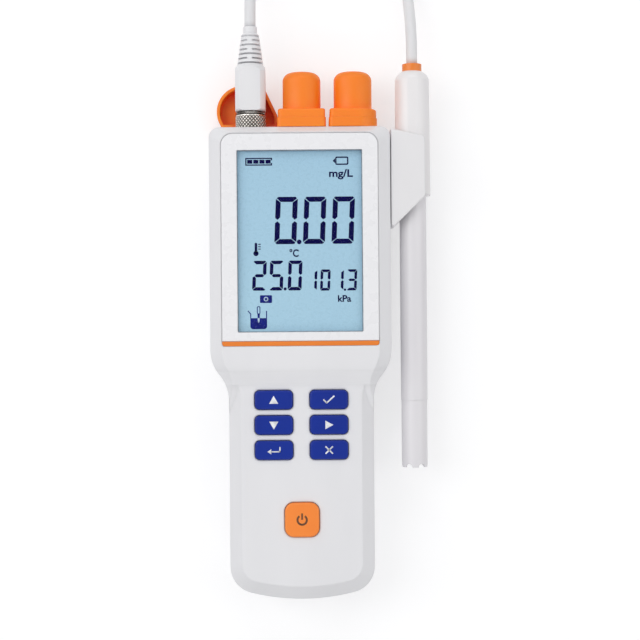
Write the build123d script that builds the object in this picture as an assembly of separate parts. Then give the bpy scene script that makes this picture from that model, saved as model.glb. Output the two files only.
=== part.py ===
"""Portable dissolved oxygen meter, lying on its back.

X runs to the right, Y along the instrument towards its sockets, Z out of its front face. The origin is the
middle of the flat back face. Every length is in millimetres.
"""

from build123d import *
from math import asin, cos, pi, radians, sin, sqrt, tan
import os

# Housing
length = 208.8
head_width = 80.0
handle_width = 64.0
thickness = 35.0
keypad_step = 2.5
wall = 2.4
parting_height = 10.0
flare_top = 6.0
flare_bottom = -16.0
end_arc_radius = 94.0
head_corner = 4.5
handle_corner = 12.0
side_bevel = 5.4
top_bevel = 3.2
end_bevel = 6.3
bevel_height = 5.5
bevel_corner_step = 4.0
back_bevel = 2.5
ramp_top = -3.5
ramp_length = 5.8

# Clearances
fit_gap = 0.1
seat_gap = 0.2
free_gap = 0.3
running_gap = 0.08

# Seal between the shells
seal_width = 1.0
seal_height = 0.8
seal_inset = 0.7

# Display
lens_side_border = 5.6
lens_top_border = 3.5
lens_bottom = 9.9
lens_thickness = 1.2
lens_corner = 5.0
strip_height = 2.0
window_edge = 0.5
glass_side_border = 4.6
glass_top_border = 3.9
glass_bottom_border = 1.1
glass_thickness = 1.8
backlight_thickness = 2.2
display_frame_wall = 1.0

# Circuit board
board_side_gap = 10.0
board_handle_gap = 9.0
board_top_gap = 24.4
board_end_gap = 20.4
board_thickness = 1.6
board_height = 21.0
buzzer_radius = 6.0
buzzer_height = 3.6

# Keys
key_width = 16.7
key_length = 8.35
key_corner = 2.1
key_column = 12.1
keys_below_flare = 21.95
key_pitch = 11.03
key_rise = 1.3
key_travel = 0.8
key_gap = 0.25
key_flange = 1.0
key_flange_thickness = 1.0
key_edge = 0.8
stem_width = 6.0
stem_length = 4.0
power_size = 15.1
power_corner = 4.0
power_from_end = 35.8
mat_thickness = 1.4
mat_edge = 1.0
mat_reach = 6.4
mat_end_reach = 10.4

# Sockets on the top end
socket_height = 18.5
socket_middle = 1.0
socket_pitch = 22.9
well_radius = 8.0
well_depth = 9.4
well_wall = 1.5
jack_radius = 4.83
jack_rise = 3.3
jack_bore = 4.1
jack_flange_radius = 7.2
jack_flange_thickness = 1.5
jack_thread_radius = 4.7
jack_tail = 7.0
nut_thickness = 2.5
nut_across_flats = 13.0
lug_radius = 0.95
lug_reach = 5.5
temperature_radius = 4.15
temperature_rise = 10.0
temperature_thread_radius = 3.9
temperature_bore = 3.4
data_width = 14.0
data_depth = 8.0
data_shell_width = 7.8
data_shell_depth = 4.0
data_length = 10.0
data_bore = 7.0

# Plug on the cable
ring_radius = 6.8
ring_length = 14.0
ring_rise = 7.6
ring_bore = 5.75
ring_shoulder_depth = 2.8
neck_radius = 4.92
boot_gap = 0.6
boot_across = 13.3
boot_radius = 8.05
boot_length = 20.6
boot_shoulder_length = 2.8
relief_length = 14.4
relief_base_radius = 5.9
relief_tip_radius = 4.0
slot_count = 7
slot_pitch = 2.03
slot_start = 0.8
slot_width = 0.75
slot_depth_radius = 3.3
tip_length = 3.0

# Cable
cable_diameter = 5.0
cable_floor = 2.6
coil_distance = 126.6
coil_inner_turn = 23.0
coil_turns_across = 3
coil_layers = 2
tie_width = 3.0
tie_thickness = 0.8

# Caps
cap_width = 21.6
cap_depth = 22.4
cap_skirt_height = 8.1
cap_layer_height = 4.2
cap_layer_inset = 0.35
cap_wall = 1.4
cap_roof = 1.5
cap_knob_radius = 8.5
cap_height = 25.3
cap_crown = 3.8
cap_corner = 1.8
cap_end_corner = 9.0
strip_front = 6.8
strip_back = 3.2
strip_thickness = 1.6
peg_radius = 1.4
strap_width = 8.0
strap_thickness = 1.0
strap_rise = 6.2
strap_drop = 2.0

# Open cap behind the plug
open_cap_radius = 11.9
open_cap_shift = 3.9
open_cap_gap = 2.2
open_cap_middle = 9.4
open_cap_front = 10.9
open_cap_depth = 8.3
open_cap_crown_width = 5.4
open_cap_foot_width = 11.7
open_cap_foot_height = 7.8
open_cap_corner = 2.5
cap_seal_radius = 6.4
cap_seal_bore = 5.1
cap_seal_drop = 3.0
cap_seal_rise = 12.6

# Probe and its clip
probe_distance = 10.6
probe_height = 18.0
grip_flat = 7.45
grip_flat_bottom = 7.8
grip_radius = 8.2
grip_length = 55.6
grip_rise = 25.7
grip_shoulder = 4.0
collar_radius = 4.35
collar_height = 3.3
shaft_radius = 6.0
shaft_bore = 4.9
shaft_length = 121.6
shaft_socket = 9.5
guard_length = 30.0
guard_radius = 5.8
notch_count = 6
notch_radius = 1.6
core_radius = 4.5
membrane_recess = 2.5
membrane_thickness = 0.3
membrane_cap_length = 11.0
ring_groove = 0.9
clip_gap = 0.35
clip_jaw = 2.3
clip_reach = 5.0
clip_top_drop = 0.9
clip_length = 44.5
clip_top_slope = 3.1
clip_end_slope = 14.7
clip_standoff = 0.4
clip_slot_corner = 4.5
clip_boss_radius = 3.0
clip_boss_places = (8.5, 31.5)

# Batteries and their cover
cell_radius = 7.1
cell_length = 50.0
cell_gap = 0.4
cell_count = 3
cell_pole_radius = 2.7
cell_pole_length = 1.2
cell_rest_gap = 0.2
contact_thickness = 0.75
contact_half_height = 5.0
contact_side_gap = 0.5
contact_seat_gap = 0.05
contact_stud_radius = 3.2
bay_end_gap = 12.4
bay_room = 6.0
bay_wall = 1.8
cover_overlap = 3.0
cover_thickness = 1.9
cover_recess = 0.15
cover_edge = 1.0
cover_rail = 1.3
cover_rail_thickness = 0.9
grip_groove_count = 5

# Screws
screw_radius = 1.35
screw_head_radius = 2.9
screw_head_height = 2.0
screw_length = 18.0
post_radius = 3.2
post_side_gap = 5.0
post_top_gap = 16.4
post_cover_gap = 6.0

# Places that follow from the sizes
half_length = length / 2
handle_face = thickness - keypad_step
top_inside = half_length - wall
left_socket_x = socket_middle - socket_pitch
right_socket_x = socket_middle + socket_pitch

lens_width = head_width - 2 * lens_side_border
lens_top = half_length - lens_top_border
glass_width = lens_width - 2 * glass_side_border
glass_top = lens_top - glass_top_border
glass_bottom = lens_bottom + glass_bottom_border
window_width = glass_width - 2 * window_edge
window_top = glass_top - window_edge
window_bottom = glass_bottom + window_edge

board_width = head_width - 2 * board_side_gap
board_handle_width = handle_width - 2 * board_handle_gap
board_top = half_length - board_top_gap
board_bottom = board_end_gap - half_length

key_first_row = flare_top - keys_below_flare
power_y = power_from_end - half_length
mat_width = board_handle_width - 2 * mat_edge
mat_top = key_first_row + mat_reach
mat_bottom = power_y - mat_end_reach

cell_pitch = 2 * cell_radius + cell_gap
cell_height = cover_recess + cover_thickness + seat_gap + cell_rest_gap + cell_radius
bay_bottom = bay_end_gap - half_length
bay_top = bay_bottom + cell_length + bay_room
cover_top = bay_top + cover_overlap
cover_half_width = cell_pitch * cell_count / 2 + cover_edge
post_places = (
    (head_width / 2 - post_side_gap, half_length - post_top_gap),
    (post_side_gap - head_width / 2, half_length - post_top_gap),
    (handle_width / 2 - post_side_gap + fit_gap, cover_top + post_cover_gap),
    (post_side_gap - fit_gap - handle_width / 2, cover_top + post_cover_gap),
)

ring_top = half_length + ring_rise
ring_bottom = ring_top - ring_length
ring_shoulder = ring_top - ring_shoulder_depth
boot_start = ring_top + boot_gap
boot_end = boot_start + boot_length
boot_shoulder = boot_end - boot_shoulder_length
relief_end = boot_end + relief_length
tip_end = relief_end + tip_length

probe_x = head_width / 2 + probe_distance
grip_top = half_length + grip_rise
grip_bottom = grip_top - grip_length
shaft_end = grip_bottom - shaft_length
guard_top = shaft_end + guard_length
core_top = grip_bottom - ring_groove
clip_top = half_length - clip_top_drop
clip_bottom = clip_top - clip_length
clip_tip_top = clip_top - clip_top_slope
clip_tip_bottom = clip_bottom + clip_end_slope

open_cap_x = left_socket_x - open_cap_shift
open_cap_y = half_length + open_cap_middle
open_cap_bottom = half_length + open_cap_gap
open_cap_slant_x = left_socket_x + open_cap_crown_width
open_cap_slant_y = half_length + open_cap_foot_height
open_cap_right = left_socket_x + open_cap_foot_width

coil_x = (left_socket_x + probe_x) / 2
coil_y = half_length + coil_distance


def box_between(low, high):
    """Box with two opposite corners given."""
    middle = [(a + b) / 2 for a, b in zip(low, high)]
    size = [b - a for a, b in zip(low, high)]
    return Pos(*middle) * Box(*size)


def rod(radius, start, end, x, z):
    """Round bar along Y."""
    return Pos(x, (start + end) / 2, z) * Rot(90, 0, 0) * Cylinder(radius, end - start)


def post(radius, low, high, x, y):
    """Round bar along Z."""
    return Pos(x, y, (low + high) / 2) * Cylinder(radius, high - low)


def turned(profile, x, z):
    """Solid of revolution about a line along Y, from points of radius and Y."""
    face = make_face(Polyline(*profile, close=True))
    return Pos(x, 0, z) * revolve(face, Axis.Y)


def plate(face, low, high):
    """Flat outline made solid between two heights."""
    return Pos(0, 0, low) * extrude(face, high - low, dir=(0, 0, 1))


def near(shape, x, y):
    """The corner of a flat outline that is nearest to a place."""
    return min(shape.vertices(), key=lambda v: (v.X - x) ** 2 + (v.Y - y) ** 2)


def rounded(face, corners):
    """Flat outline with its listed corners rounded, each given as x, y and radius."""
    for x, y, radius in corners:
        face = fillet(near(face, x, y), radius)
    return face


def outline(side=0.0, top=0.0, end=0.0, head_round=head_corner, handle_round=handle_corner):
    """Front outline of the housing, drawn in by its sides, top and bottom end."""
    head = head_width / 2 - side
    handle = handle_width / 2 - side
    y_top = half_length - top
    y_end = end - half_length
    arc = end_arc_radius - end
    y_side = y_end + arc - sqrt(arc**2 - handle**2)
    turn = asin(handle / arc) / 2
    flare = ((head + handle) / 2, (flare_top + flare_bottom) / 2)
    right = [
        Line((0, y_top), (head, y_top)),
        Line((head, y_top), (head, flare_top)),
        TangentArc((head, flare_top), flare, tangent=(0, -1)),
        TangentArc((handle, flare_bottom), flare, tangent=(0, 1)),
        Line((handle, flare_bottom), (handle, y_side)),
        ThreePointArc((handle, y_side), (arc * sin(turn), y_end + arc * (1 - cos(turn))), (0, y_end)),
    ]
    face = make_face(right + [mirror(edge, Plane.YZ) for edge in right])
    corners = [(sign * head, y_top, head_round) for sign in (1, -1)]
    corners += [(sign * handle, y_side, handle_round) for sign in (1, -1)]
    return rounded(face, corners)


def bevelled(inset, low, shoulder, high):
    """Block on the housing's outline with the bevel round its front face."""
    outer = outline(inset, inset, inset, head_corner - inset / 2, handle_corner - inset)
    inner = outline(
        inset + side_bevel,
        inset + top_bevel,
        inset + end_bevel,
        head_corner - inset / 2,
        handle_corner - bevel_corner_step - inset,
    )
    bevel = loft([Pos(0, 0, shoulder) * outer, Pos(0, 0, high) * inner], ruled=True)
    return plate(outer, low, shoulder) + bevel


def above_ramp(drop):
    """What lies over the keypad's level: the ramp at the display's foot and all below it."""
    slope = keypad_step / ramp_length
    reach = half_length
    points = [
        (ramp_top, thickness - drop),
        (ramp_top, thickness + reach),
        (ramp_top - reach, thickness + reach),
        (ramp_top - reach, thickness - drop - reach * slope),
    ]
    face = Plane.YZ * make_face(Polyline(*points, close=True))
    return extrude(face, head_width, both=True)


def front_form(inset, low):
    """Outer or inner form of the front: the display's level joined to the keypad's level by a ramp."""
    drop = inset
    display = bevelled(inset, low, thickness - bevel_height - drop * 0.4, thickness - drop)
    keypad = bevelled(inset, low, handle_face - bevel_height - drop * 0.4, handle_face - drop)
    return keypad + (display - above_ramp(drop))


def lens_outline(gap=0.0, bottom=lens_bottom):
    """Outline of the lens, or of its pocket when a gap is given."""
    half = lens_width / 2 + gap
    low = bottom - gap
    high = lens_top + gap
    face = make_face(Polyline((-half, low), (half, low), (half, high), (-half, high), close=True))
    return rounded(face, [(half, high, lens_corner), (-half, high, lens_corner)])


def strip_outline(gap=0.0):
    """Outline of the accent strip under the lens."""
    half = lens_width / 2 + gap
    high = lens_bottom - fit_gap
    low = high - strip_height - gap
    face = make_face(Polyline((-half, low), (half, low), (half, high), (-half, high), close=True))
    return rounded(face, [(half, low, 1.2), (-half, low, 1.2)])


def key_places():
    """Name, x and y of each of the six keys."""
    names = (("key_up", "key_set"), ("key_down", "key_measure"), ("key_enter", "key_cancel"))
    for row, pair in enumerate(names):
        for column, name in enumerate(pair):
            yield name, key_column * (2 * column - 1), key_first_row - row * key_pitch


def key_outline(width, depth, corner, grow):
    """Rounded outline of a key, or of its hole or flange."""
    return RectangleRounded(width + 2 * grow, depth + 2 * grow, corner + grow)


def key_solid(x, y, width, depth, corner):
    """Key with a softly edged top, a flange under the front wall and a stem."""
    flange_top = handle_face - wall - seat_gap
    flange_low = flange_top - key_flange_thickness
    stem_low = board_height + board_thickness + mat_thickness + key_travel + free_gap
    top = plate(key_outline(width, depth, corner, 0), flange_top, handle_face + key_rise)
    top = fillet(top.faces().sort_by(Axis.Z)[-1].edges(), key_edge)
    flange = plate(key_outline(width, depth, corner, key_flange), flange_low, flange_top)
    stem = plate(Rectangle(stem_width, stem_length), stem_low, flange_low)
    return Pos(x, y, 0) * (top + flange + stem)


def bnc_hole():
    """Well that lets the coupling ring down into the top wall, with the hole in its floor."""
    floor = half_length - well_depth
    well = rod(well_radius, floor, half_length + 1, left_socket_x, socket_height)
    hole = rod(jack_thread_radius + seat_gap, floor - 3, floor + 1, left_socket_x, socket_height)
    return well + hole


def bnc_well():
    """Wall and floor round the well, clear of the rear shell."""
    floor = half_length - well_depth
    radius = well_radius + well_wall
    tub = rod(radius, floor - well_wall, half_length - wall / 2, left_socket_x, socket_height)
    keep = box_between(
        (-head_width, 0, parting_height + fit_gap), (head_width, half_length, thickness)
    )
    return tub & keep


def front_shell():
    """Front half of the housing, with every opening that the pieces in it need."""
    shell = front_form(0, parting_height) - front_form(wall, parting_height - 1)
    post_top = thickness - wall - 0.2
    inside = front_form(wall / 2, parting_height)
    for x, y in post_places:
        shell += post(post_radius, parting_height + free_gap, post_top, x, y) & inside
    shell += bnc_well()
    shell -= bnc_hole()
    for x, y in post_places:
        shell -= post(screw_radius + fit_gap, parting_height, parting_height + screw_length, x, y)
    shell -= plate(lens_outline(fit_gap), thickness - lens_thickness - fit_gap, thickness + 1)
    shell -= plate(strip_outline(fit_gap), thickness - lens_thickness - fit_gap, thickness + 1)
    shell -= box_between(
        (-window_width / 2, window_bottom, thickness - wall - 3), (window_width / 2, window_top, thickness)
    )
    for _, x, y in key_places():
        hole = key_outline(key_width, key_length, key_corner, key_gap)
        shell -= Pos(x, y, 0) * plate(hole, handle_face - wall - 2, thickness)
    hole = key_outline(power_size, power_size, power_corner, key_gap)
    shell -= Pos(0, power_y, 0) * plate(hole, handle_face - wall - 2, thickness)
    shell -= rod(
        temperature_thread_radius + seat_gap, top_inside - 1, half_length + 1, socket_middle, socket_height
    )
    shell -= Pos(right_socket_x, half_length, socket_height) * Box(
        data_width + 2 * seat_gap, 4 * wall, data_depth + 2 * seat_gap
    )
    for y in clip_boss_rows():
        hole = Pos(head_width / 2, y, probe_height) * Rot(0, 90, 0)
        shell -= hole * Cylinder(clip_boss_radius + seat_gap, 4 * wall)
    shell -= seal_ring(fit_gap)
    return shell


def seal_ring(gap=0.0):
    """Rubber cord in the front shell's rim, or its groove when a gap is given."""
    outer = seal_inset - gap
    inner = seal_inset + seal_width + gap
    low = parting_height if gap else parting_height + fit_gap / 2
    high = low + seal_height + gap
    rounds = [head_corner - inset / 2 for inset in (outer, inner)]
    ring = plate(outline(outer, outer, outer, rounds[0], handle_corner - outer), low, high)
    return ring - plate(outline(inner, inner, inner, rounds[1], handle_corner - inner), low, high)


def back_form(inset, low):
    """Outer or inner form of the back, with its bevelled rim."""
    drawn = inset + back_bevel
    inner = outline(drawn, drawn, drawn, head_corner - drawn / 2, handle_corner - drawn)
    outer = outline(inset, inset, inset, head_corner - inset / 2, handle_corner - inset)
    rim = loft([Pos(0, 0, low) * inner, Pos(0, 0, low + back_bevel) * outer], ruled=True)
    return rim + plate(outer, low + back_bevel, parting_height)


def cover_blank(gap, low, high):
    """Battery cover without its end shape: a plate with a thinner rail along each side."""
    half = cover_half_width + gap
    rail = half + cover_rail
    top = cover_top + gap
    rail_low = high - cover_rail_thickness - gap
    body = box_between((-half, -half_length - 5, low), (half, top, high))
    return body + box_between((-rail, -half_length - 5, rail_low), (rail, top, high))


def battery_cover():
    """Slide-off cover that closes the battery bay and shares the housing's end."""
    top = cover_recess + cover_thickness
    cover = cover_blank(0, cover_recess, top) & back_form(0, 0)
    for row in range(grip_groove_count):
        y = cover_top - 7.0 - row * 2.2
        cover -= box_between((-9, y - 0.5, 0), (9, y + 0.5, cover_recess + 0.5))
    return cover


def rear_shell():
    """Rear half of the housing with the battery bay and the screw posts."""
    pocket_top = cover_recess + cover_thickness + seat_gap
    floor_top = pocket_top + cover_thickness
    floor_side = cover_half_width + cover_rail + wall
    half_bay = cell_pitch * cell_count / 2 + seat_gap
    bay_roof = pocket_top + 2 * cell_radius + 1.6
    shell = back_form(0, 0) - back_form(wall, wall)
    inside = back_form(wall / 2, wall / 2)
    side = half_bay + bay_wall
    floor = box_between((-floor_side, -half_length, wall / 2), (floor_side, cover_top + wall, floor_top))
    shell += floor & inside
    shell += box_between(
        (-side, bay_bottom - bay_wall, floor_top - 0.5), (side, bay_top + bay_wall, board_height - free_gap)
    )
    shell -= box_between((-half_bay, bay_bottom, -1), (half_bay, bay_top, bay_roof))
    for x, y in post_places:
        shell += post(post_radius + 0.6, wall / 2, parting_height - fit_gap, x, y) & inside
    for x, y in post_places:
        shell -= post(screw_radius + seat_gap, -1, parting_height + 1, x, y)
        shell -= post(screw_head_radius + seat_gap, -1, 2 * screw_head_height, x, y)
    shell -= cover_blank(seat_gap, -1, pocket_top)
    for x in strip_peg_places() + [left_strap_x()]:
        shell -= rod(peg_radius + fit_gap, top_inside - 1, half_length + 1, x, strip_middle())
    return shell


def clip_boss_rows():
    """Y of the clip's two bosses."""
    return [clip_top - place for place in clip_boss_places]


def screws():
    """Four housing screws, driven from the back."""
    low = 2 * screw_head_height
    group = []
    for x, y in post_places:
        head = post(screw_head_radius, low - screw_head_height, low - fit_gap, x, y)
        group.append(head + post(screw_radius, low - fit_gap, parting_height + screw_length - 2, x, y))
    return Compound(children=[solid for screw in group for solid in screw.solids()])


def strip_middle():
    """Height of the cap strip's middle line."""
    return (strip_front + strip_back) / 2


def strip_peg_places():
    """Where the cap strip is pegged into the top wall."""
    return [socket_middle - 5.5, socket_middle + socket_pitch / 2, right_socket_x + 6.5]


def left_strap_x():
    """Middle of the open cap's strap."""
    return left_socket_x - 1.5


def lens():
    """Flush display window."""
    return plate(lens_outline(), thickness - lens_thickness, thickness)


def accent_strip():
    """Coloured inlay under the lens."""
    return plate(strip_outline(), thickness - lens_thickness, thickness)


def display_levels():
    """Heights of the display stack: backlight bottom, glass bottom, glass top."""
    top = thickness - wall - seat_gap
    return top - glass_thickness - backlight_thickness, top - glass_thickness, top


def lcd_panel():
    """Liquid crystal glass."""
    _, low, high = display_levels()
    half = glass_width / 2
    return box_between((-half, glass_bottom, low), (half, glass_top, high))


def lcd_backlight():
    """Light guide behind the glass."""
    low, high, _ = display_levels()
    half = glass_width / 2
    return box_between((-half, glass_bottom, low), (half, glass_top, high - fit_gap))


def display_frame():
    """Carrier that holds glass and backlight over the board on four legs."""
    low, _, high = display_levels()
    half = glass_width / 2 + fit_gap
    outer = half + display_frame_wall
    bottom = glass_bottom - fit_gap
    top = glass_top + fit_gap
    frame = box_between(
        (-outer, bottom - display_frame_wall, low - 1.2), (outer, top + display_frame_wall, high)
    )
    frame -= box_between((-half, bottom, low - fit_gap), (half, top, high + 1))
    frame -= box_between((-half + 3, bottom + 3, low - 2), (half - 3, top - 3, low))
    board_top_face = board_height + board_thickness
    for x in (-half + 4, half - 4):
        for y in (bottom + 2, board_top - 4):
            frame += post(1.8, board_top_face, low - fit_gap - 0.4, x, y)
    well = well_radius + well_wall + free_gap
    return frame - rod(well, board_top, half_length, left_socket_x, socket_height)


def main_board():
    """Circuit board, wide under the display and narrow in the handle."""
    high = board_height + board_thickness
    half = board_width / 2
    neck = board_handle_width / 2
    wide = box_between((-half, flare_top, board_height), (half, board_top, high))
    narrow = box_between((-neck, board_bottom, board_height), (neck, flare_top, high))
    return wide + narrow


def board_parts():
    """Chips and connectors that stand on the board's top."""
    high = board_height + board_thickness
    across = board_width / 2
    along = board_top / 2
    places = ((-0.45, 1.15, 0.4), (0.35, 1.3, 0.25), (0.4, 0.75, 0.3), (-0.25, 0.6, 0.18))
    group = []
    for x, y, size in places:
        half = size * across / 2
        low = (x * across - half, y * along - half, high)
        group.append(box_between(low, (x * across + half, y * along + half, high + board_thickness * 0.7)))
    return Compound(children=[solid for part in group for solid in part.solids()])


def keypad_mat():
    """Rubber sheet under the keys, lying on the board."""
    low = board_height + board_thickness
    half = mat_width / 2
    return box_between((-half, mat_bottom, low), (half, mat_top, low + mat_thickness))


def cells():
    """Three cylindrical cells side by side, alternately turned."""
    middle = (bay_top + bay_bottom) / 2
    group = []
    for number in range(cell_count):
        x = (number - (cell_count - 1) / 2) * cell_pitch
        way = 1 if number % 2 else -1
        tip = middle + way * cell_length / 2
        low_end = middle - way * cell_length / 2
        can_end = tip - way * cell_pole_length
        can = rod(cell_radius, min(low_end, can_end), max(low_end, can_end), x, cell_height)
        pole = rod(cell_pole_radius, min(can_end, tip), max(can_end, tip), x, cell_height)
        group.append(can + pole)
    return Compound(children=[solid for cell in group for solid in cell.solids()])


def contacts():
    """Sprung contact plates at both ends of the battery bay."""
    half = cell_pitch * cell_count / 2 - contact_side_gap
    low = cell_height - contact_half_height
    high = cell_height + contact_half_height
    middle = (bay_top + bay_bottom) / 2
    group = []
    for end, way in ((bay_top, -1), (bay_bottom, 1)):
        seat = end + way * contact_seat_gap
        inner = end + way * contact_thickness
        sheet = box_between((-half, min(seat, inner), low), (half, max(seat, inner), high))
        for number in range(cell_count):
            x = (number - (cell_count - 1) / 2) * cell_pitch
            tip = middle - way * (cell_length / 2 + fit_gap)
            sheet += rod(contact_stud_radius, min(inner, tip), max(inner, tip), x, cell_height)
        group.append(sheet)
    return Compound(children=[solid for sheet in group for solid in sheet.solids()])


def buzzer():
    """Small sounder on the board's underside at its top end."""
    return post(buzzer_radius, board_height - buzzer_height, board_height, 0, board_top - 9)


def bnc_jack():
    """Coaxial socket: flange in the well, barrel with two lugs, threaded tail."""
    floor = half_length - well_depth
    end = half_length + jack_rise
    jack = rod(jack_flange_radius, floor, floor + jack_flange_thickness, left_socket_x, socket_height)
    jack += rod(jack_radius, floor + jack_flange_thickness, end, left_socket_x, socket_height)
    jack += rod(jack_thread_radius, floor - jack_tail, floor, left_socket_x, socket_height)
    lug = Pos(left_socket_x, end - 3.2, socket_height) * Rot(0, 90, 0) * Cylinder(lug_radius, 2 * lug_reach)
    jack += lug
    jack -= rod(jack_bore, floor + jack_flange_thickness + 1.2, end + 1, left_socket_x, socket_height)
    jack -= rod(2.4, floor - jack_tail - 1, end, left_socket_x, socket_height)
    return jack


def bnc_core():
    """Insulator in the middle of the coaxial socket."""
    floor = half_length - well_depth
    core = rod(2.3, floor - jack_tail, half_length + jack_rise - 2.0, left_socket_x, socket_height)
    return core - rod(1.2, floor - jack_tail - 1, half_length + jack_rise, left_socket_x, socket_height)


def bnc_contact():
    """Centre contact tube, which takes the plug's pin."""
    floor = half_length - well_depth
    low = floor - jack_tail - 1.5
    tube = rod(1.1, low, half_length + jack_rise - 2.2, left_socket_x, socket_height)
    return tube - rod(0.75, floor, half_length + jack_rise, left_socket_x, socket_height)


def hex_nut(across_flats, bore, start, end, x, z):
    """Six-sided nut along Y."""
    face = RegularPolygon(across_flats / 2, 6, major_radius=False)
    nut = Pos(x, (start + end) / 2, z) * Rot(90, 0, 0) * extrude(face, (end - start) / 2, both=True)
    return nut - rod(bore, start - 1, end + 1, x, z)


def bnc_nut():
    """Nut that holds the coaxial socket to the well's floor."""
    seat = half_length - well_depth - well_wall - fit_gap
    bore = jack_thread_radius + fit_gap
    return hex_nut(nut_across_flats, bore, seat - nut_thickness, seat, left_socket_x, socket_height)


def temperature_socket():
    """Round socket in the middle: threaded body, outer nut and open shell."""
    end = half_length + temperature_rise
    jack = rod(temperature_thread_radius, top_inside - 6, half_length + 3, socket_middle, socket_height)
    jack += hex_nut(10.5, 3.0, half_length + fit_gap, half_length + 2.0, socket_middle, socket_height)
    jack += rod(temperature_radius, half_length + 2.0, end, socket_middle, socket_height)
    jack -= rod(temperature_bore, half_length + 2.0, end + 1, socket_middle, socket_height)
    return jack


def temperature_core():
    """Insulator with the centre hole of the round socket."""
    base = half_length + 2.0
    core = rod(temperature_bore - fit_gap, base, base + 6.5, socket_middle, socket_height)
    return core - rod(1.6, base + 1, base + 8, socket_middle, socket_height)


def temperature_nut():
    """Inner nut that clamps the round socket to the top wall."""
    seat = top_inside - fit_gap
    return hex_nut(
        11.0, temperature_thread_radius + fit_gap, seat - nut_thickness, seat, socket_middle, socket_height
    )


def data_socket():
    """Flat data and supply socket in its block, with a retaining flange inside."""
    top = half_length - fit_gap
    x = right_socket_x
    block = box_between(
        (x - data_width / 2, top - data_length, socket_height - data_depth / 2),
        (x + data_width / 2, top, socket_height + data_depth / 2),
    )
    block += box_between(
        (x - data_width / 2 - 1.5, top_inside - 2.0, socket_height - data_depth / 2 - 1.5),
        (x + data_width / 2 + 1.5, top_inside - fit_gap, socket_height + data_depth / 2 + 1.5),
    )
    return block - Pos(x, top, socket_height) * Box(data_shell_width, 2 * data_bore, data_shell_depth)


def data_shell():
    """Folded metal shell and tongue inside the data socket."""
    top = half_length - fit_gap - 0.1
    x = right_socket_x
    width = data_shell_width - 2 * 0.05
    depth = data_shell_depth - 2 * 0.05
    shell = Pos(x, top - 3.4, socket_height) * Box(width, 6.8, depth)
    shell -= Pos(x, top - 2.6, socket_height) * Box(width - 0.8, 6.8, depth - 0.8)
    return shell + Pos(x, top - 3.9, socket_height) * Box(4.4, 5.4, 0.9)


def coupling_ring():
    """Bayonet ring of the plug, free to turn on the plug's neck."""
    profile = [
        (ring_bore, ring_bottom),
        (ring_radius - 0.4, ring_bottom),
        (ring_radius, ring_bottom + 0.5),
        (ring_radius, ring_top - 0.5),
        (ring_radius - 0.4, ring_top),
        (neck_radius + running_gap, ring_top),
        (neck_radius + running_gap, ring_shoulder),
        (ring_bore, ring_shoulder),
    ]
    return turned(profile, left_socket_x, socket_height)


def plug_body():
    """Metal body of the plug: sleeve inside the socket, flange in the ring, neck and tail in the boot."""
    low = ring_bottom + 2.2
    flange_low = half_length + jack_rise + fit_gap
    profile = [
        (3.2, low),
        (jack_bore - 0.15, low),
        (jack_bore - 0.15, flange_low),
        (ring_bore - 0.25, flange_low),
        (ring_bore - 0.25, ring_shoulder - seat_gap),
        (neck_radius, ring_shoulder - seat_gap),
        (neck_radius, boot_start - fit_gap),
        (4.0, boot_start - fit_gap),
        (4.0, boot_start + 8),
        (1.6, boot_start + 8),
        (1.6, flange_low),
        (3.2, flange_low),
    ]
    return turned(profile, left_socket_x, socket_height)


def plug_pin():
    """Centre pin in its insulator."""
    start = ring_bottom + 3.0
    pin = rod(0.68, start, boot_start, left_socket_x, socket_height)
    holder = rod(1.5, half_length + jack_rise + 0.3, boot_start, left_socket_x, socket_height)
    return pin + holder


def plug_boot():
    """White boot with four flats and a slotted, tapering strain relief."""
    relief = boot_end
    profile = [
        (4.1, boot_start),
        (boot_radius - 0.6, boot_start),
        (boot_radius, boot_start + 0.6),
        (boot_radius, boot_shoulder),
        (boot_radius - 0.7, boot_shoulder + boot_shoulder_length / 2),
        (relief_base_radius, relief),
        (relief_tip_radius, relief_end - 0.6),
        (relief_tip_radius - 0.7, relief_end),
        (3.1, relief_end),
        (3.1, tip_end),
        (1.2, tip_end),
        (1.2, boot_start + 8.2),
        (4.1, boot_start + 8.2),
    ]
    boot = turned(profile, left_socket_x, socket_height)
    half = boot_across / 2
    boot &= box_between(
        (left_socket_x - half, boot_start - 1, socket_height - half),
        (left_socket_x + half, tip_end + 1, socket_height + half),
    )
    for number in range(slot_count):
        y = boot_end + slot_start + number * slot_pitch
        boot -= relief_slots(y, turned_by=0 if number % 2 else 90)
    return boot


def relief_slots(y, turned_by):
    """Pair of opposite slots round the strain relief, leaving two webs between them."""
    outer = relief_base_radius + 1
    ring = Cylinder(outer, slot_width) - Cylinder(slot_depth_radius, slot_width + 1)
    ring -= Box(2.2, 2 * outer + 1, slot_width + 1)
    return Pos(left_socket_x, y, socket_height) * Rot(90, 0, 0) * Rot(0, 0, turned_by) * ring


def cap_outline(width, depth, rounding):
    """Outline of a closed cap's skirt, seen along the socket; its free end may be fully rounded."""
    face = Rectangle(width, depth)
    half_w = width / 2
    half_d = depth / 2
    for x in (-half_w, half_w):
        for y in (-half_d, half_d):
            radius = rounding if x > 0 else cap_corner
            face = fillet(near(face, x, y), radius)
    return face


def along_socket(face, start, end, x):
    """Outline given across a socket, made solid between two values of Y."""
    return Pos(x, end, socket_height) * Rot(90, 0, 0) * extrude(face, end - start, dir=(0, 0, 1))


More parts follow.
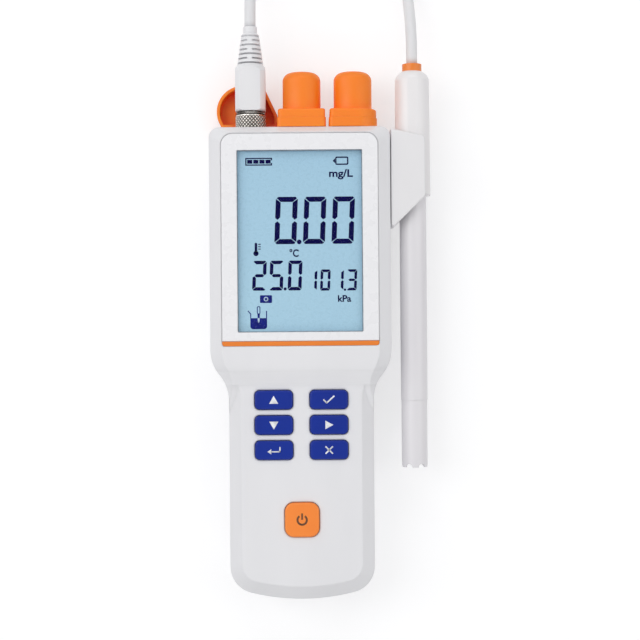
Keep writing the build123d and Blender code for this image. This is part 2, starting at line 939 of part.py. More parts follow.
def closed_cap(x, rounding):
    """Cap on its socket: two-layer skirt, round knob with a soft crown, open underneath."""
    base = half_length + fit_gap
    step = base + cap_layer_height
    roof = base + cap_skirt_height
    top = half_length + cap_height
    small = cap_layer_inset
    cap = along_socket(cap_outline(cap_width, cap_depth, rounding), base, step, x)
    inner = cap_outline(cap_width - 2 * small, cap_depth - 2 * small, rounding - small)
    cap += along_socket(inner, step, roof, x)
    cap = fillet(cap.faces().sort_by(Axis.Y)[-1].outer_wire().edges(), 0.8)
    knob = rod(cap_knob_radius, roof - 0.5, top, x, socket_height)
    knob = fillet(knob.faces().sort_by(Axis.Y)[-1].edges(), cap_crown)
    cap += knob
    inner = cap_outline(cap_width - 2 * cap_wall, cap_depth - 2 * cap_wall, rounding - cap_wall)
    cap -= along_socket(inner, base - 1, roof - cap_roof, x)
    bore = rod(cap_knob_radius - cap_wall, roof - cap_roof - 1, top - cap_roof, x, socket_height)
    return cap - bore


def open_cap():
    """Left cap, swung back on its strap: it stands behind the plug with its mouth to the front."""
    radius = open_cap_radius
    low = open_cap_bottom - open_cap_y
    start = (open_cap_x - sqrt(radius**2 - low**2), open_cap_bottom)
    crown = (open_cap_x, open_cap_y + radius)
    corner = (open_cap_slant_x, open_cap_y + radius)
    face = make_face(
        [
            ThreePointArc(start, (open_cap_x - radius, open_cap_y), crown),
            Line(crown, corner),
            Line(corner, (open_cap_right, open_cap_slant_y)),
            Line((open_cap_right, open_cap_slant_y), (open_cap_right, open_cap_bottom)),
            Line((open_cap_right, open_cap_bottom), start),
        ]
    )
    face = fillet(near(face, *corner), open_cap_corner)
    closed_end = open_cap_front - open_cap_depth
    cap = plate(face, closed_end, open_cap_front)
    cap = fillet(cap.faces().sort_by(Axis.Z)[0].edges(), 1.0)
    inner = offset(face, -cap_wall)
    cap -= plate(inner, closed_end + cap_roof, open_cap_front + 1)
    seal = Circle(cap_seal_radius) - Circle(cap_seal_bore)
    seal = plate(seal, closed_end + cap_roof / 2, open_cap_front - cap_seal_drop)
    return cap + Pos(left_socket_x, open_cap_bottom + cap_seal_rise, 0) * seal


def cap_strip():
    """Rubber strip pegged to the top wall behind the sockets, which carries the cap straps."""
    base = half_length
    x_low = strip_peg_places()[0] - 3.5
    x_high = strip_peg_places()[-1] + 3.5
    strip = box_between((x_low, base, strip_back), (x_high, base + strip_thickness, strip_front))
    for x in strip_peg_places():
        strip += rod(peg_radius, base - wall, base, x, strip_middle())
    return strip


def open_cap_strap():
    """Pegged foot of the open cap's strap."""
    x = left_strap_x()
    foot = box_between(
        (x - strap_width / 2, half_length, strip_back),
        (x + strap_width / 2, open_cap_bottom - free_gap, strip_front),
    )
    return foot + rod(peg_radius, half_length - wall, half_length, x, strip_middle())


def cap_strap(x):
    """Thin band that ties a closed cap to the strip."""
    base = half_length + strip_thickness
    skirt_back = socket_height - cap_depth / 2
    rise = half_length + strap_rise
    half = strap_width / 2
    low = skirt_back - strap_drop
    band = box_between((x - half, base, low), (x + half, rise, low + strap_thickness))
    return band + box_between((x - half, rise - strap_thickness, low), (x + half, rise, skirt_back))


def probe_grip():
    """Grip that tapers slightly upwards, with rounded shoulders and the bore for the shaft."""
    profile = [
        (0, grip_bottom),
        (grip_radius, grip_bottom),
        (grip_radius - 0.35, grip_top - grip_shoulder),
        (grip_radius - 1.2, grip_top - grip_shoulder + 1.9),
        (grip_radius - 2.5, grip_top - 0.7),
        (grip_radius - 3.6, grip_top),
        (0, grip_top),
    ]
    grip = turned(profile, probe_x, probe_height)
    low = Rectangle(2 * grip_flat_bottom, 2 * grip_flat_bottom)
    high = Rectangle(2 * grip_flat, 2 * grip_flat)
    prism = loft([low, Pos(0, 0, grip_top - grip_bottom) * high], ruled=True)
    prism = Pos(probe_x, grip_bottom, probe_height) * Rot(-90, 0, 0) * prism
    grip &= prism
    return grip - rod(
        shaft_radius + 0.05, grip_bottom - 1, grip_bottom + shaft_socket + 0.2, probe_x, probe_height
    )


def probe_collar():
    """Coloured collar at the probe's top, where the cable goes in."""
    return rod(collar_radius, grip_top, grip_top + collar_height, probe_x, probe_height)


def probe_shaft():
    """Shaft tube between the grip and the guard."""
    end = grip_bottom + shaft_socket
    shaft = rod(shaft_radius, guard_top, end, probe_x, probe_height)
    return shaft - rod(shaft_bore, guard_top - 1, end + 1, probe_x, probe_height)


def probe_guard():
    """Scalloped end of the shaft, a piece of its own that comes off with the membrane cap."""
    guard = rod(guard_radius, shaft_end, guard_top, probe_x, probe_height)
    guard -= rod(shaft_bore, shaft_end - 1, guard_top + 1, probe_x, probe_height)
    for number in range(notch_count // 2):
        angle = (number + 0.5) * 360 / notch_count
        notch = Rot(0, angle, 0) * Cylinder(notch_radius, 4 * shaft_radius)
        guard -= Pos(probe_x, shaft_end, probe_height) * notch
    return guard


def electrode():
    """Electrode body inside the shaft, with the groove for its ring."""
    low = shaft_end + membrane_recess + membrane_thickness
    cap_top = low + membrane_cap_length
    core = rod(core_radius, cap_top + fit_gap, core_top, probe_x, probe_height)
    core += rod(core_radius - 1.0, low + 1.2, cap_top + fit_gap, probe_x, probe_height)
    groove_y = cap_top + 4
    groove = rod(core_radius + 1, groove_y, groove_y + 2 * ring_groove, probe_x, probe_height)
    floor = rod(core_radius - 0.6, groove_y, groove_y + 2 * ring_groove, probe_x, probe_height)
    return core - (groove - floor)


def electrode_ring():
    """Rubber ring that seals the electrode in the shaft."""
    low = shaft_end + membrane_recess + membrane_thickness
    groove_y = low + membrane_cap_length + 4
    ring = rod(shaft_bore - 0.05, groove_y + 0.1, groove_y + 2 * ring_groove - 0.1, probe_x, probe_height)
    return ring - rod(core_radius - 0.55, groove_y, groove_y + 2 * ring_groove, probe_x, probe_height)


def membrane_cap():
    """Screw-on cap that holds the membrane over the electrode's tip."""
    low = shaft_end + membrane_recess + membrane_thickness
    cap = rod(shaft_bore - seat_gap, low, low + membrane_cap_length, probe_x, probe_height)
    cap -= rod(core_radius - 0.95, low + 1.0, low + membrane_cap_length + 1, probe_x, probe_height)
    return cap - rod(2.2, low - 1, low + 2, probe_x, probe_height)


def membrane():
    """Thin membrane over the cap's mouth."""
    low = shaft_end + membrane_recess
    return rod(shaft_bore - 0.4, low, low + membrane_thickness, probe_x, probe_height)


def clip_form():
    """Front outline of the clip: straight at the housing, slanted underneath, short at its tip."""
    left = head_width / 2 + clip_standoff
    right = probe_x + clip_reach
    points = [
        (left, clip_top),
        (right, clip_tip_top),
        (right, clip_tip_bottom),
        (left, clip_bottom),
    ]
    face = make_face(Polyline(*points, close=True))
    corners = [(right, clip_tip_top, 2.2), (right, clip_tip_bottom, 0.8), (left, clip_bottom, 1.0)]
    return rounded(face, corners)


def probe_clip():
    """Clip on the housing's side: two jaws joined by a web, open to the right, on two bosses."""
    slot_half = grip_flat_bottom + clip_gap
    low = probe_height - slot_half - clip_jaw
    high = probe_height + slot_half + clip_jaw
    clip = plate(clip_form(), low, high)
    clip = fillet(clip.faces().sort_by(Axis.Z)[-1].edges(), 0.6)
    slot = Rectangle(2 * slot_half, 2 * slot_half)
    slot = fillet(slot.vertices(), clip_slot_corner)
    cut = Pos(probe_x, clip_top + 1, probe_height) * Rot(90, 0, 0) * extrude(slot, clip_top, dir=(0, 0, 1))
    cut += box_between(
        (probe_x, clip_bottom - 20, probe_height - slot_half),
        (probe_x + 30, clip_top + 1, probe_height + slot_half),
    )
    clip -= cut
    inner = head_width / 2 - wall + fit_gap
    left = head_width / 2 + clip_standoff
    for y in clip_boss_rows():
        place = Pos((inner + left) / 2, y, probe_height) * Rot(0, 90, 0)
        clip += place * Cylinder(clip_boss_radius, left - inner + 0.2)
        clip -= place * Cylinder(screw_radius + fit_gap, 2 * (left - inner) + 1.0)
    return clip


def clip_screws():
    """Two screws that hold the clip from inside the housing."""
    inner = head_width / 2 - wall
    group = []
    for y in clip_boss_rows():
        head_end = inner - fit_gap
        head = Pos(head_end - 0.7, y, probe_height) * Rot(0, 90, 0) * Cylinder(clip_boss_radius + 0.8, 1.4)
        tip = head_width / 2 + clip_standoff + 1.0
        along = Pos((head_end + tip) / 2, y, probe_height) * Rot(0, 90, 0)
        shank = along * Cylinder(screw_radius, tip - head_end)
        group.append(head + shank)
    return Compound(children=[solid for screw in group for solid in screw.solids()])


def cable_tube(points):
    """Cable along straight runs joined by tangent arcs; prints the radii and compares the volume."""
    vectors = [Vector(*p) for p in points]
    radii = []
    for before, here, after in zip(vectors, vectors[1:], vectors[2:]):
        run_in = here - before
        run_out = after - here
        turn = radians(run_in.get_angle(run_out))
        radii.append(0.45 * min(run_in.length, run_out.length) / tan(turn / 2))
    path = FilletPolyline(*points, radius=radii)
    tube = sweep(path.location_at(0) * Circle(cable_diameter / 2), path=path)
    expected = pi * (cable_diameter / 2) ** 2 * path.length
    print("cable radii", [round(r, 1) for r in radii], "length", round(path.length, 1))
    print("cable volume", round(tube.volume, 1), "expected", round(expected, 1))
    return tube


def coil_outer_turn():
    """Radius of the outermost turn's middle line."""
    return coil_inner_turn + (coil_turns_across - 1) * cable_diameter


def lead_end():
    """Where both leads meet the coil's straight ends."""
    outer = coil_outer_turn() + cable_diameter / 2
    inner = coil_outer_turn() - cable_diameter / 2
    return coil_y - sqrt(outer**2 - inner**2)


def lead(start, end, fractions):
    """Cable from the instrument to the coil: each fraction gives the way along, across and down."""
    points = [start]
    for along, across, down in fractions:
        parts = (across, along, down)
        points.append(tuple(a + (b - a) * part for a, b, part in zip(start, end, parts)))
    return cable_tube(points + [end])


def meter_lead():
    """Cable from the boot's tip down to the table and to the coil's bottom layer."""
    start = (left_socket_x, tip_end, socket_height)
    end = (coil_x - coil_outer_turn(), lead_end(), cable_floor)
    fractions = [
        (0.15, 0.0, 0.0),
        (0.31, 0.1, 0.2),
        (0.47, 0.35, 0.53),
        (0.64, 0.7, 0.86),
        (0.82, 1.0, 1.0),
    ]
    return lead(start, end, fractions)


def probe_lead():
    """Cable from the probe's collar down to the table and up to the coil's top layer."""
    start = (probe_x, grip_top + collar_height, probe_height)
    end = (coil_x + coil_outer_turn(), lead_end(), cable_floor + cable_diameter)
    fractions = [
        (0.12, 0.0, 0.0),
        (0.24, 0.05, 0.28),
        (0.37, 0.22, 0.83),
        (0.5, 0.43, 1.3),
        (0.64, 0.65, 1.45),
        (0.78, 0.89, 1.22),
        (0.9, 1.0, 1.0),
    ]
    return lead(start, end, fractions)


def cable_coil():
    """Outer shape of the wound cable: a flat ring with two straight ends, cut in under the tie."""
    inner = coil_inner_turn - cable_diameter / 2
    outer = coil_outer_turn() + cable_diameter / 2
    low = cable_floor - cable_diameter / 2
    high = low + coil_layers * cable_diameter
    ring = Cylinder(outer, high - low) - Cylinder(inner, high)
    ring = fillet(ring.edges().filter_by(GeomType.CIRCLE), 0.44 * cable_diameter)
    coil = Pos(coil_x, coil_y, (high + low) / 2) * ring
    for way, level in ((-1, 0), (1, 1)):
        x = coil_x + way * coil_outer_turn()
        coil += rod(cable_diameter / 2, lead_end(), coil_y, x, cable_floor + level * cable_diameter)
    return coil - box_between(
        (coil_x - tie_width, coil_y + inner - tie_width, -1),
        (coil_x + tie_width, coil_y + outer + tie_width, low + tie_thickness + free_gap),
    )


def cable_tie():
    """Band round the coil's far side."""
    inner = coil_inner_turn - cable_diameter / 2 - free_gap
    outer = coil_outer_turn() + cable_diameter / 2 + free_gap
    low = cable_floor - cable_diameter / 2
    high = low + coil_layers * cable_diameter + free_gap
    half = tie_width / 2
    band = box_between(
        (coil_x - half, coil_y + inner - tie_thickness, low),
        (coil_x + half, coil_y + outer + tie_thickness, high + tie_thickness),
    )
    return band - box_between(
        (coil_x - tie_width, coil_y + inner, low + tie_thickness),
        (coil_x + tie_width, coil_y + outer, high),
    )


def model():
    """Every piece by name."""
    parts = {
        "front_shell": front_shell(),
        "rear_shell": rear_shell(),
        "housing_seal": seal_ring(),
        "housing_screws": screws(),
        "screen_lens": lens(),
        "accent_strip": accent_strip(),
        "lcd_panel": lcd_panel(),
        "lcd_backlight": lcd_backlight(),
        "display_frame": display_frame(),
        "main_board": main_board(),
        "board_parts": board_parts(),
        "buzzer": buzzer(),
        "keypad_mat": keypad_mat(),
        "batteries": cells(),
        "battery_contacts": contacts(),
        "battery_cover": battery_cover(),
        "bnc_socket": bnc_jack(),
        "bnc_insulator": bnc_core(),
        "bnc_contact": bnc_contact(),
        "bnc_nut": bnc_nut(),
        "temperature_socket": temperature_socket(),
        "temperature_core": temperature_core(),
        "temperature_nut": temperature_nut(),
        "data_socket": data_socket(),
        "data_socket_shell": data_shell(),
        "plug_coupling_ring": coupling_ring(),
        "plug_body": plug_body(),
        "plug_pin": plug_pin(),
        "plug_boot": plug_boot(),
        "cap_left": open_cap(),
        "cap_middle": closed_cap(socket_middle, cap_corner),
        "cap_right": closed_cap(right_socket_x, cap_end_corner),
        "cap_strip": cap_strip(),
        "cap_strap_left": open_cap_strap(),
        "cap_strap_middle": cap_strap(socket_middle),
        "cap_strap_right": cap_strap(right_socket_x),
        "probe_grip": probe_grip(),
        "probe_collar": probe_collar(),
        "probe_shaft": probe_shaft(),
        "probe_guard": probe_guard(),
        "electrode_body": electrode(),
        "electrode_ring": electrode_ring(),
        "membrane_cap": membrane_cap(),
        "membrane": membrane(),
        "probe_clip": probe_clip(),
        "clip_screws": clip_screws(),
        "cable_lead_meter": meter_lead(),
        "cable_lead_probe": probe_lead(),
        "cable_coil": cable_coil(),
        "cable_tie": cable_tie(),
    }
    for name, x, y in key_places():
        parts[name] = key_solid(x, y, key_width, key_length, key_corner)
    parts["power_key"] = key_solid(0, power_y, power_size, power_size, power_corner)
    return parts


os.makedirs("parts", exist_ok=True)
for node, shape in model().items():
    export_step(shape, f"parts/{node}.step")
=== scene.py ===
"""Portable dissolved oxygen meter: looks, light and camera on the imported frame."""

import random
from math import cos, exp, pi, radians, sin, sqrt

import bpy
from mathutils import Matrix, Vector


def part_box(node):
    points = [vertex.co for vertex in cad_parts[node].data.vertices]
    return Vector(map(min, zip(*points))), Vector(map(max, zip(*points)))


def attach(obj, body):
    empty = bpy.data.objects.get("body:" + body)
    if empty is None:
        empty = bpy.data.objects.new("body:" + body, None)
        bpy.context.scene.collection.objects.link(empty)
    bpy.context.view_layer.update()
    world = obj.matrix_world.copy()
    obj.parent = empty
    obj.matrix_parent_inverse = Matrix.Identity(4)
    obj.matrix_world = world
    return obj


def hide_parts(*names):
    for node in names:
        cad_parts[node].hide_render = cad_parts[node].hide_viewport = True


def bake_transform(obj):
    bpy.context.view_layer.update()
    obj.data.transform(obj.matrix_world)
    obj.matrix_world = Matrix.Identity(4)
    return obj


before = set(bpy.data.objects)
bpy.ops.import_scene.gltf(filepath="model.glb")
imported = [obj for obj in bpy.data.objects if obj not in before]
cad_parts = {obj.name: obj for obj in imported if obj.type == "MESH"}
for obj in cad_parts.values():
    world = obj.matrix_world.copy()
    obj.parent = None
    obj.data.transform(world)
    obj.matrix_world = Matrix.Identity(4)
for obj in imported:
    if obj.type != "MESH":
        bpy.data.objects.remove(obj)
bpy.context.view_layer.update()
random.seed(7)

MM = 0.001
scene = bpy.context.scene
scene.view_settings.view_transform = "Standard"

# Camera: straight above the front, turned a little, as in the photograph
CAMERA_AT = Vector((0.0085, 0.0190, 0.650))
CAMERA_ROLL = radians(-0.45)
HALF_VIEW = 0.1412 / 0.6205
IMAGE_SIZE = 640

camera_data = bpy.data.cameras.new("camera")
camera_data.sensor_width = 36.0
camera_data.lens = 18.0 / HALF_VIEW
camera = bpy.data.objects.new("camera", camera_data)
camera.location = CAMERA_AT
camera.rotation_euler = (0, 0, CAMERA_ROLL)
scene.collection.objects.link(camera)
scene.camera = camera


def spot(px, py, height):
    """Place at a height in millimetres that shows at a pixel of the photograph."""
    half = (CAMERA_AT.z - height * MM) * HALF_VIEW
    u = (px - IMAGE_SIZE / 2) / (IMAGE_SIZE / 2) * half
    v = (IMAGE_SIZE / 2 - py) / (IMAGE_SIZE / 2) * half
    x = CAMERA_AT.x + u * cos(CAMERA_ROLL) - v * sin(CAMERA_ROLL)
    y = CAMERA_AT.y + u * sin(CAMERA_ROLL) + v * cos(CAMERA_ROLL)
    return x / MM, y / MM


def mesh_object(name, verts, faces, material, body, smooth=True):
    """Mesh from points in millimetres, with one material, riding on a body where one is named."""
    mesh = bpy.data.meshes.new(name)
    mesh.from_pydata([(x * MM, y * MM, z * MM) for x, y, z in verts], [], faces)
    mesh.validate()
    mesh.update()
    obj = bpy.data.objects.new(name, mesh)
    scene.collection.objects.link(obj)
    mesh.materials.append(material)
    for polygon in mesh.polygons:
        polygon.use_smooth = smooth
    if body:
        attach(obj, body)
    return obj


# Materials


def linear(r, g, b):
    """Linear colour from values of 0 to 255."""
    colour = []
    for share in (r / 255, g / 255, b / 255):
        colour.append(share / 12.92 if share <= 0.04045 else ((share + 0.055) / 1.055) ** 2.4)
    return colour + [1.0]


SMOOTH_NOISE = 0.55
NOISE_LOW, NOISE_HIGH = 0.3, 0.7


class Nodes:
    """A material and short ways to add nodes to it."""

    def __init__(self, name):
        self.material = bpy.data.materials.new(name)
        self.material.use_nodes = True
        self.tree = self.material.node_tree
        self.shader = self.tree.nodes["Principled BSDF"]
        self.place = self.add("ShaderNodeTexCoord").outputs["Object"]

    def add(self, kind, **values):
        node = self.tree.nodes.new(kind)
        for key, value in values.items():
            setattr(node, key, value)
        return node

    def link(self, source, target):
        self.tree.links.new(source, target)

    def noise(self, scale, detail=2.0, rough=0.5, stretch=None):
        node = self.add("ShaderNodeTexNoise")
        node.inputs["Scale"].default_value = scale
        node.inputs["Detail"].default_value = detail
        node.inputs["Roughness"].default_value = rough
        place = self.place
        if stretch:
            mapping = self.add("ShaderNodeMapping")
            mapping.inputs["Scale"].default_value = stretch
            self.link(place, mapping.inputs["Vector"])
            place = mapping.outputs["Vector"]
        self.link(place, node.inputs["Vector"])
        return node.outputs["Fac"]

    def uneven(self, scale, detail, low, high):
        """Noise spread between a low and a high value."""
        return self.span(self.noise(scale, detail), NOISE_LOW, NOISE_HIGH, low, high)

    def math(self, operation, a, b=0.5):
        node = self.add("ShaderNodeMath", operation=operation)
        for socket, value in zip(node.inputs, (a, b)):
            if isinstance(value, (int, float)):
                socket.default_value = value
            else:
                self.link(value, socket)
        return node.outputs[0]

    def span(self, value, low, high, to_low=0.0, to_high=1.0):
        node = self.add("ShaderNodeMapRange")
        node.inputs["From Min"].default_value = low
        node.inputs["From Max"].default_value = high
        node.inputs["To Min"].default_value = to_low
        node.inputs["To Max"].default_value = to_high
        self.link(value, node.inputs["Value"])
        return node.outputs["Result"]

    def mix(self, factor, a, b):
        node = self.add("ShaderNodeMix", data_type="RGBA")
        if isinstance(factor, (int, float)):
            node.inputs[0].default_value = factor
        else:
            self.link(factor, node.inputs[0])
        for socket, value in zip((node.inputs[6], node.inputs[7]), (a, b)):
            if isinstance(value, list):
                socket.default_value = value
            else:
                self.link(value, socket)
        return node.outputs[2]

    def bump(self, height, distance, strength=1.0, normal=None):
        node = self.add("ShaderNodeBump")
        node.inputs["Strength"].default_value = strength
        node.inputs["Distance"].default_value = distance
        self.link(height, node.inputs["Height"])
        if normal is not None:
            self.link(normal, node.inputs["Normal"])
        return node.outputs["Normal"]

    def soft_edges(self, radius):
        node = self.add("ShaderNodeBevel", samples=6)
        node.inputs["Radius"].default_value = radius
        return node.outputs["Normal"]

    def axes(self, vector):
        """The three coordinates of a vector."""
        split = self.add("ShaderNodeSeparateXYZ")
        self.link(vector, split.inputs[0])
        return split.outputs

    def input(self, name):
        return self.shader.inputs[name]

    def edge_mask(self, radius, low=0.86, high=0.99):
        """One at an edge and nought on a face."""
        bevel = self.soft_edges(radius)
        geometry = self.add("ShaderNodeNewGeometry")
        dot = self.add("ShaderNodeVectorMath", operation="DOT_PRODUCT")
        self.link(bevel, dot.inputs[0])
        self.link(geometry.outputs["True Normal"], dot.inputs[1])
        return self.span(dot.outputs["Value"], low, high, 1.0, 0.0)


RAMP_EDGES = ((-0.0035, -1), (-0.0093, 1))
RAMP_SLOPE = 0.43
RAMP_SOFT = 0.0029
RAMP_LEAST_FACING, RAMP_FULL_FACING = 0.25, 0.5


def ramp_rounding(n):
    """Height that rounds the two long edges of the ramp between the display's and the keypad's level."""
    along = n.axes(n.place)["Y"]
    geometry = n.add("ShaderNodeNewGeometry")
    facing = n.axes(geometry.outputs["True Normal"])["Z"]
    parts = []
    for edge, way in RAMP_EDGES:
        distance = n.math("ABSOLUTE", n.math("SUBTRACT", along, edge))
        near_edge = n.span(distance, 0.0, RAMP_SOFT, 1.0, 0.0)
        parts.append(n.math("MULTIPLY", n.math("POWER", near_edge, 2.0), way * RAMP_SLOPE * RAMP_SOFT / 4))
    height = n.math("ADD", *parts)
    return n.math("MULTIPLY", height, n.span(facing, RAMP_LEAST_FACING, RAMP_FULL_FACING))


EDGE_LIGHTER = 14
EDGE_POLISH = 0.25
FLOW_STRETCH = (1.0, 0.35, 1.0)


def moulded(
    name, colour, shade, rough, grain=1400.0, depth=0.00001, edge=0.0003, wear=0.25, coat=0.0, ramp=False
):
    """Moulded plastic or rubber: fine grain, faint flow marks, softened and slightly polished edges."""
    n = Nodes(name)
    flow = n.noise(35, 3, SMOOTH_NOISE, FLOW_STRETCH)
    speck = n.noise(grain, 2)
    tone = n.mix(n.span(flow, 0.35, 0.7), linear(*colour), linear(*shade))
    worn = n.math("MULTIPLY", n.edge_mask(edge), wear)
    lighter = [min(255, c + EDGE_LIGHTER) for c in colour]
    n.link(n.mix(worn, tone, linear(*lighter)), n.input("Base Color"))
    base = n.uneven(220, 3, rough * 0.88, rough * 1.12)
    n.link(n.math("SUBTRACT", base, n.math("MULTIPLY", worn, EDGE_POLISH)), n.input("Roughness"))
    soft = n.soft_edges(edge)
    if ramp:
        soft = n.bump(ramp_rounding(n), 1.0, 1.0, soft)
    n.link(n.bump(speck, depth, 0.6, soft), n.input("Normal"))
    if coat:
        n.input("Coat Weight").default_value = coat
        n.input("Coat Roughness").default_value = 0.12
    return n.material


TARNISH_SHARE = 0.72


def metal(name, colour, rough):
    """Plated or bright metal with fine turning marks and faint tarnish."""
    n = Nodes(name)
    n.input("Metallic").default_value = 1.0
    marks = n.noise(900, 3, 0.6)
    tarnish = n.noise(160, 4, 0.6)
    dull = [c * TARNISH_SHARE for c in colour]
    n.link(n.mix(n.span(tarnish, 0.45, 0.75), linear(*colour), linear(*dull)), n.input("Base Color"))
    n.link(n.span(marks, NOISE_LOW, NOISE_HIGH, rough * 0.7, rough * 1.4), n.input("Roughness"))
    n.link(n.bump(marks, 0.00001, 0.4, n.soft_edges(0.0001)), n.input("Normal"))
    return n.material


housing = moulded("housing", (231, 231, 234), (227, 227, 230), 0.36, 1500, 0.000006, 0.0011, 0.15, ramp=True)
border_print = moulded("border_print", (238, 238, 241), (237, 237, 240), 0.28, 1500, 0.000004, 0.0004, 0.1)
back_housing = moulded("back_housing", (232, 232, 235), (224, 224, 228), 0.5, 900, 0.00002, 0.0005, 0.3)
clip_plastic = moulded("clip_plastic", (231, 230, 232), (226, 225, 227), 0.38, 1500, 0.000006, 0.0005, 0.2)
grip_plastic = moulded("grip_plastic", (236, 234, 235), (230, 228, 230), 0.34, 1500, 0.000006, 0.0006, 0.2)
shaft_plastic = moulded("shaft_plastic", (229, 227, 230), (222, 220, 224), 0.33, 1500, 0.000006, 0.0003, 0.3)
boot_vinyl = moulded("boot_vinyl", (232, 232, 234), (224, 224, 227), 0.42, 1200, 0.000012, 0.0004, 0.2)
cable_vinyl = moulded("cable_vinyl", (226, 226, 228), (219, 219, 222), 0.45, 900, 0.00002, 0.0002, 0.1)
orange_rubber = moulded("orange_rubber", (255, 136, 20), (253, 128, 16), 0.5, 1100, 0.000014, 0.0005, 0.35)


def painted_hollow_glow(material):
    """Soft rubber: light goes through it, and a painted red-orange glow tints its hollows."""
    tree = material.node_tree
    shader = tree.nodes["Principled BSDF"]
    shader.inputs["Subsurface Weight"].default_value = 0.15
    shader.inputs["Subsurface Radius"].default_value = (1.0, 0.22, 0.04)
    shader.inputs["Subsurface Scale"].default_value = 0.006
    colour = shader.inputs["Base Color"].links[0].from_socket
    shade = tree.nodes.new("ShaderNodeAmbientOcclusion")
    shade.inputs["Distance"].default_value = 0.009
    shade.samples = 8
    open_share = tree.nodes.new("ShaderNodeMapRange")
    open_share.inputs["From Min"].default_value = 0.25
    open_share.inputs["From Max"].default_value = 0.55
    tree.links.new(shade.outputs["AO"], open_share.inputs["Value"])
    # Painted glow: where ambient occlusion finds a hollow, the colour turns red-orange, standing in for
    # light shining through the rubber.
    painted_glow_mix = tree.nodes.new("ShaderNodeMix")
    painted_glow_mix.data_type = "RGBA"
    painted_glow_mix.inputs[6].default_value = linear(255, 74, 26)
    tree.links.new(open_share.outputs["Result"], painted_glow_mix.inputs[0])
    tree.links.new(colour, painted_glow_mix.inputs[7])
    tree.links.new(painted_glow_mix.outputs[2], shader.inputs["Base Color"])


painted_hollow_glow(orange_rubber)
orange_inlay = moulded("orange_inlay", (236, 130, 40), (230, 122, 34), 0.32, 1500, 0.000005, 0.0002, 0.1)
orange_key = moulded("orange_key", (248, 138, 50), (244, 128, 42), 0.36, 1300, 0.000008, 0.0005, 0.35)
blue_key = moulded("blue_key", (10, 44, 146), (8, 38, 134), 0.34, 1300, 0.000006, 0.0005, 0.25, coat=0.05)
blue_key.node_tree.nodes["Principled BSDF"].inputs["Specular IOR Level"].default_value = 0.2
black_plastic = moulded("black_plastic", (34, 34, 36), (26, 26, 28), 0.45)
dark_rubber = moulded("dark_rubber", (38, 38, 40), (28, 28, 30), 0.6)
grey_mat = moulded("grey_mat", (186, 186, 188), (176, 176, 178), 0.6)
white_insulator = moulded("white_insulator", (240, 240, 236), (232, 232, 228), 0.35)
light_guide = moulded("light_guide", (214, 228, 240), (204, 220, 236), 0.2)
circuit_board = moulded("circuit_board", (22, 92, 48), (16, 72, 38), 0.35)
film = moulded("film", (210, 214, 218), (198, 204, 210), 0.15)
cell_wrap = moulded("cell_wrap", (52, 56, 62), (40, 44, 50), 0.3)
nickel = metal("nickel", (196, 194, 190), 0.22)
steel = metal("steel", (188, 188, 190), 0.3)
plated = metal("plated", (214, 180, 104), 0.25)


RING_X, RING_Z = -21.9, 18.5
GROOVE_AT, CREST_AT = 0.00645, 0.00677


def nickel_with_painted_knurl_shade():
    """Nickel with painted shade in the knurl grooves, which are nearly black, and a painted highlight on the
    brighter crests.
    """
    n = Nodes("nickel_with_painted_knurl_shade")
    n.input("Metallic").default_value = 1.0
    place = n.axes(n.place)
    dx = n.math("POWER", n.math("SUBTRACT", place["X"], RING_X * MM), 2.0)
    dz = n.math("POWER", n.math("SUBTRACT", place["Z"], RING_Z * MM), 2.0)
    radius = n.math("SQRT", n.math("ADD", dx, dz))
    # Painted shade and highlight: colour runs from nearly black at the groove radius to bright at the crest
    # radius.
    crest = n.span(radius, GROOVE_AT, CREST_AT)
    n.link(n.mix(crest, linear(38, 34, 32), linear(216, 212, 206)), n.input("Base Color"))
    n.link(n.uneven(900, 3, 0.22, 0.36), n.input("Roughness"))
    return n.material


def display_glass():
    """Reflective display: pale blue, a little deeper towards the top, with a very fine pixel grain."""
    n = Nodes("display_glass")
    up = n.span(n.axes(n.place)["Y"], 0.035, 0.092)
    base = n.mix(up, linear(177, 217, 238), linear(168, 208, 232))
    cloud = n.span(n.noise(28, 2), 0.35, 0.7)
    n.link(n.mix(cloud, base, linear(173, 213, 236)), n.input("Base Color"))
    n.link(n.uneven(700, 2, 0.24, 0.34), n.input("Roughness"))
    n.link(n.bump(n.noise(2600, 1), 0.000004, 0.4), n.input("Normal"))
    return n.material


def clear_window():
    """Clear cover plate: it only adds a faint reflection over the display."""
    n = Nodes("clear_window")
    n.input("Base Color").default_value = linear(20, 24, 30)
    n.input("Alpha").default_value = 0.03
    n.link(n.uneven(120, 3, 0.03, 0.07), n.input("Roughness"))
    return n.material


INK_DARK_SHARE = 0.82


def ink(name, colour, rough=0.4, gloss=0.25):
    """Printed ink, a dark display segment, or a painted shadow strip, slightly uneven."""
    n = Nodes(name)
    darker = [c * INK_DARK_SHARE for c in colour]
    patches = n.span(n.noise(420, 3), 0.35, 0.7)
    n.link(n.mix(patches, linear(*colour), linear(*darker)), n.input("Base Color"))
    n.link(n.uneven(900, 2, rough * 0.85, rough * 1.15), n.input("Roughness"))
    n.input("Specular IOR Level").default_value = gloss
    return n.material


ring_nickel = nickel_with_painted_knurl_shade()
glass_display = display_glass()
window_clear = clear_window()
segment_ink = ink("segment_ink", (13, 12, 76), gloss=0.03)
fill_ink = ink("fill_ink", (34, 44, 136), gloss=0.05)
white_ink = ink("white_ink", (238, 240, 244), 0.5)
symbol_ink = ink("symbol_ink", (112, 74, 50), 0.5)
halo_ink = ink("halo_ink", (196, 222, 240), 0.4)
# Painted shadow: grey-blue strip round the inside of the window edge, where the border's edge shades the
# display.
window_edge_shade = ink("window_edge_shade", (150, 160, 172), 0.5)

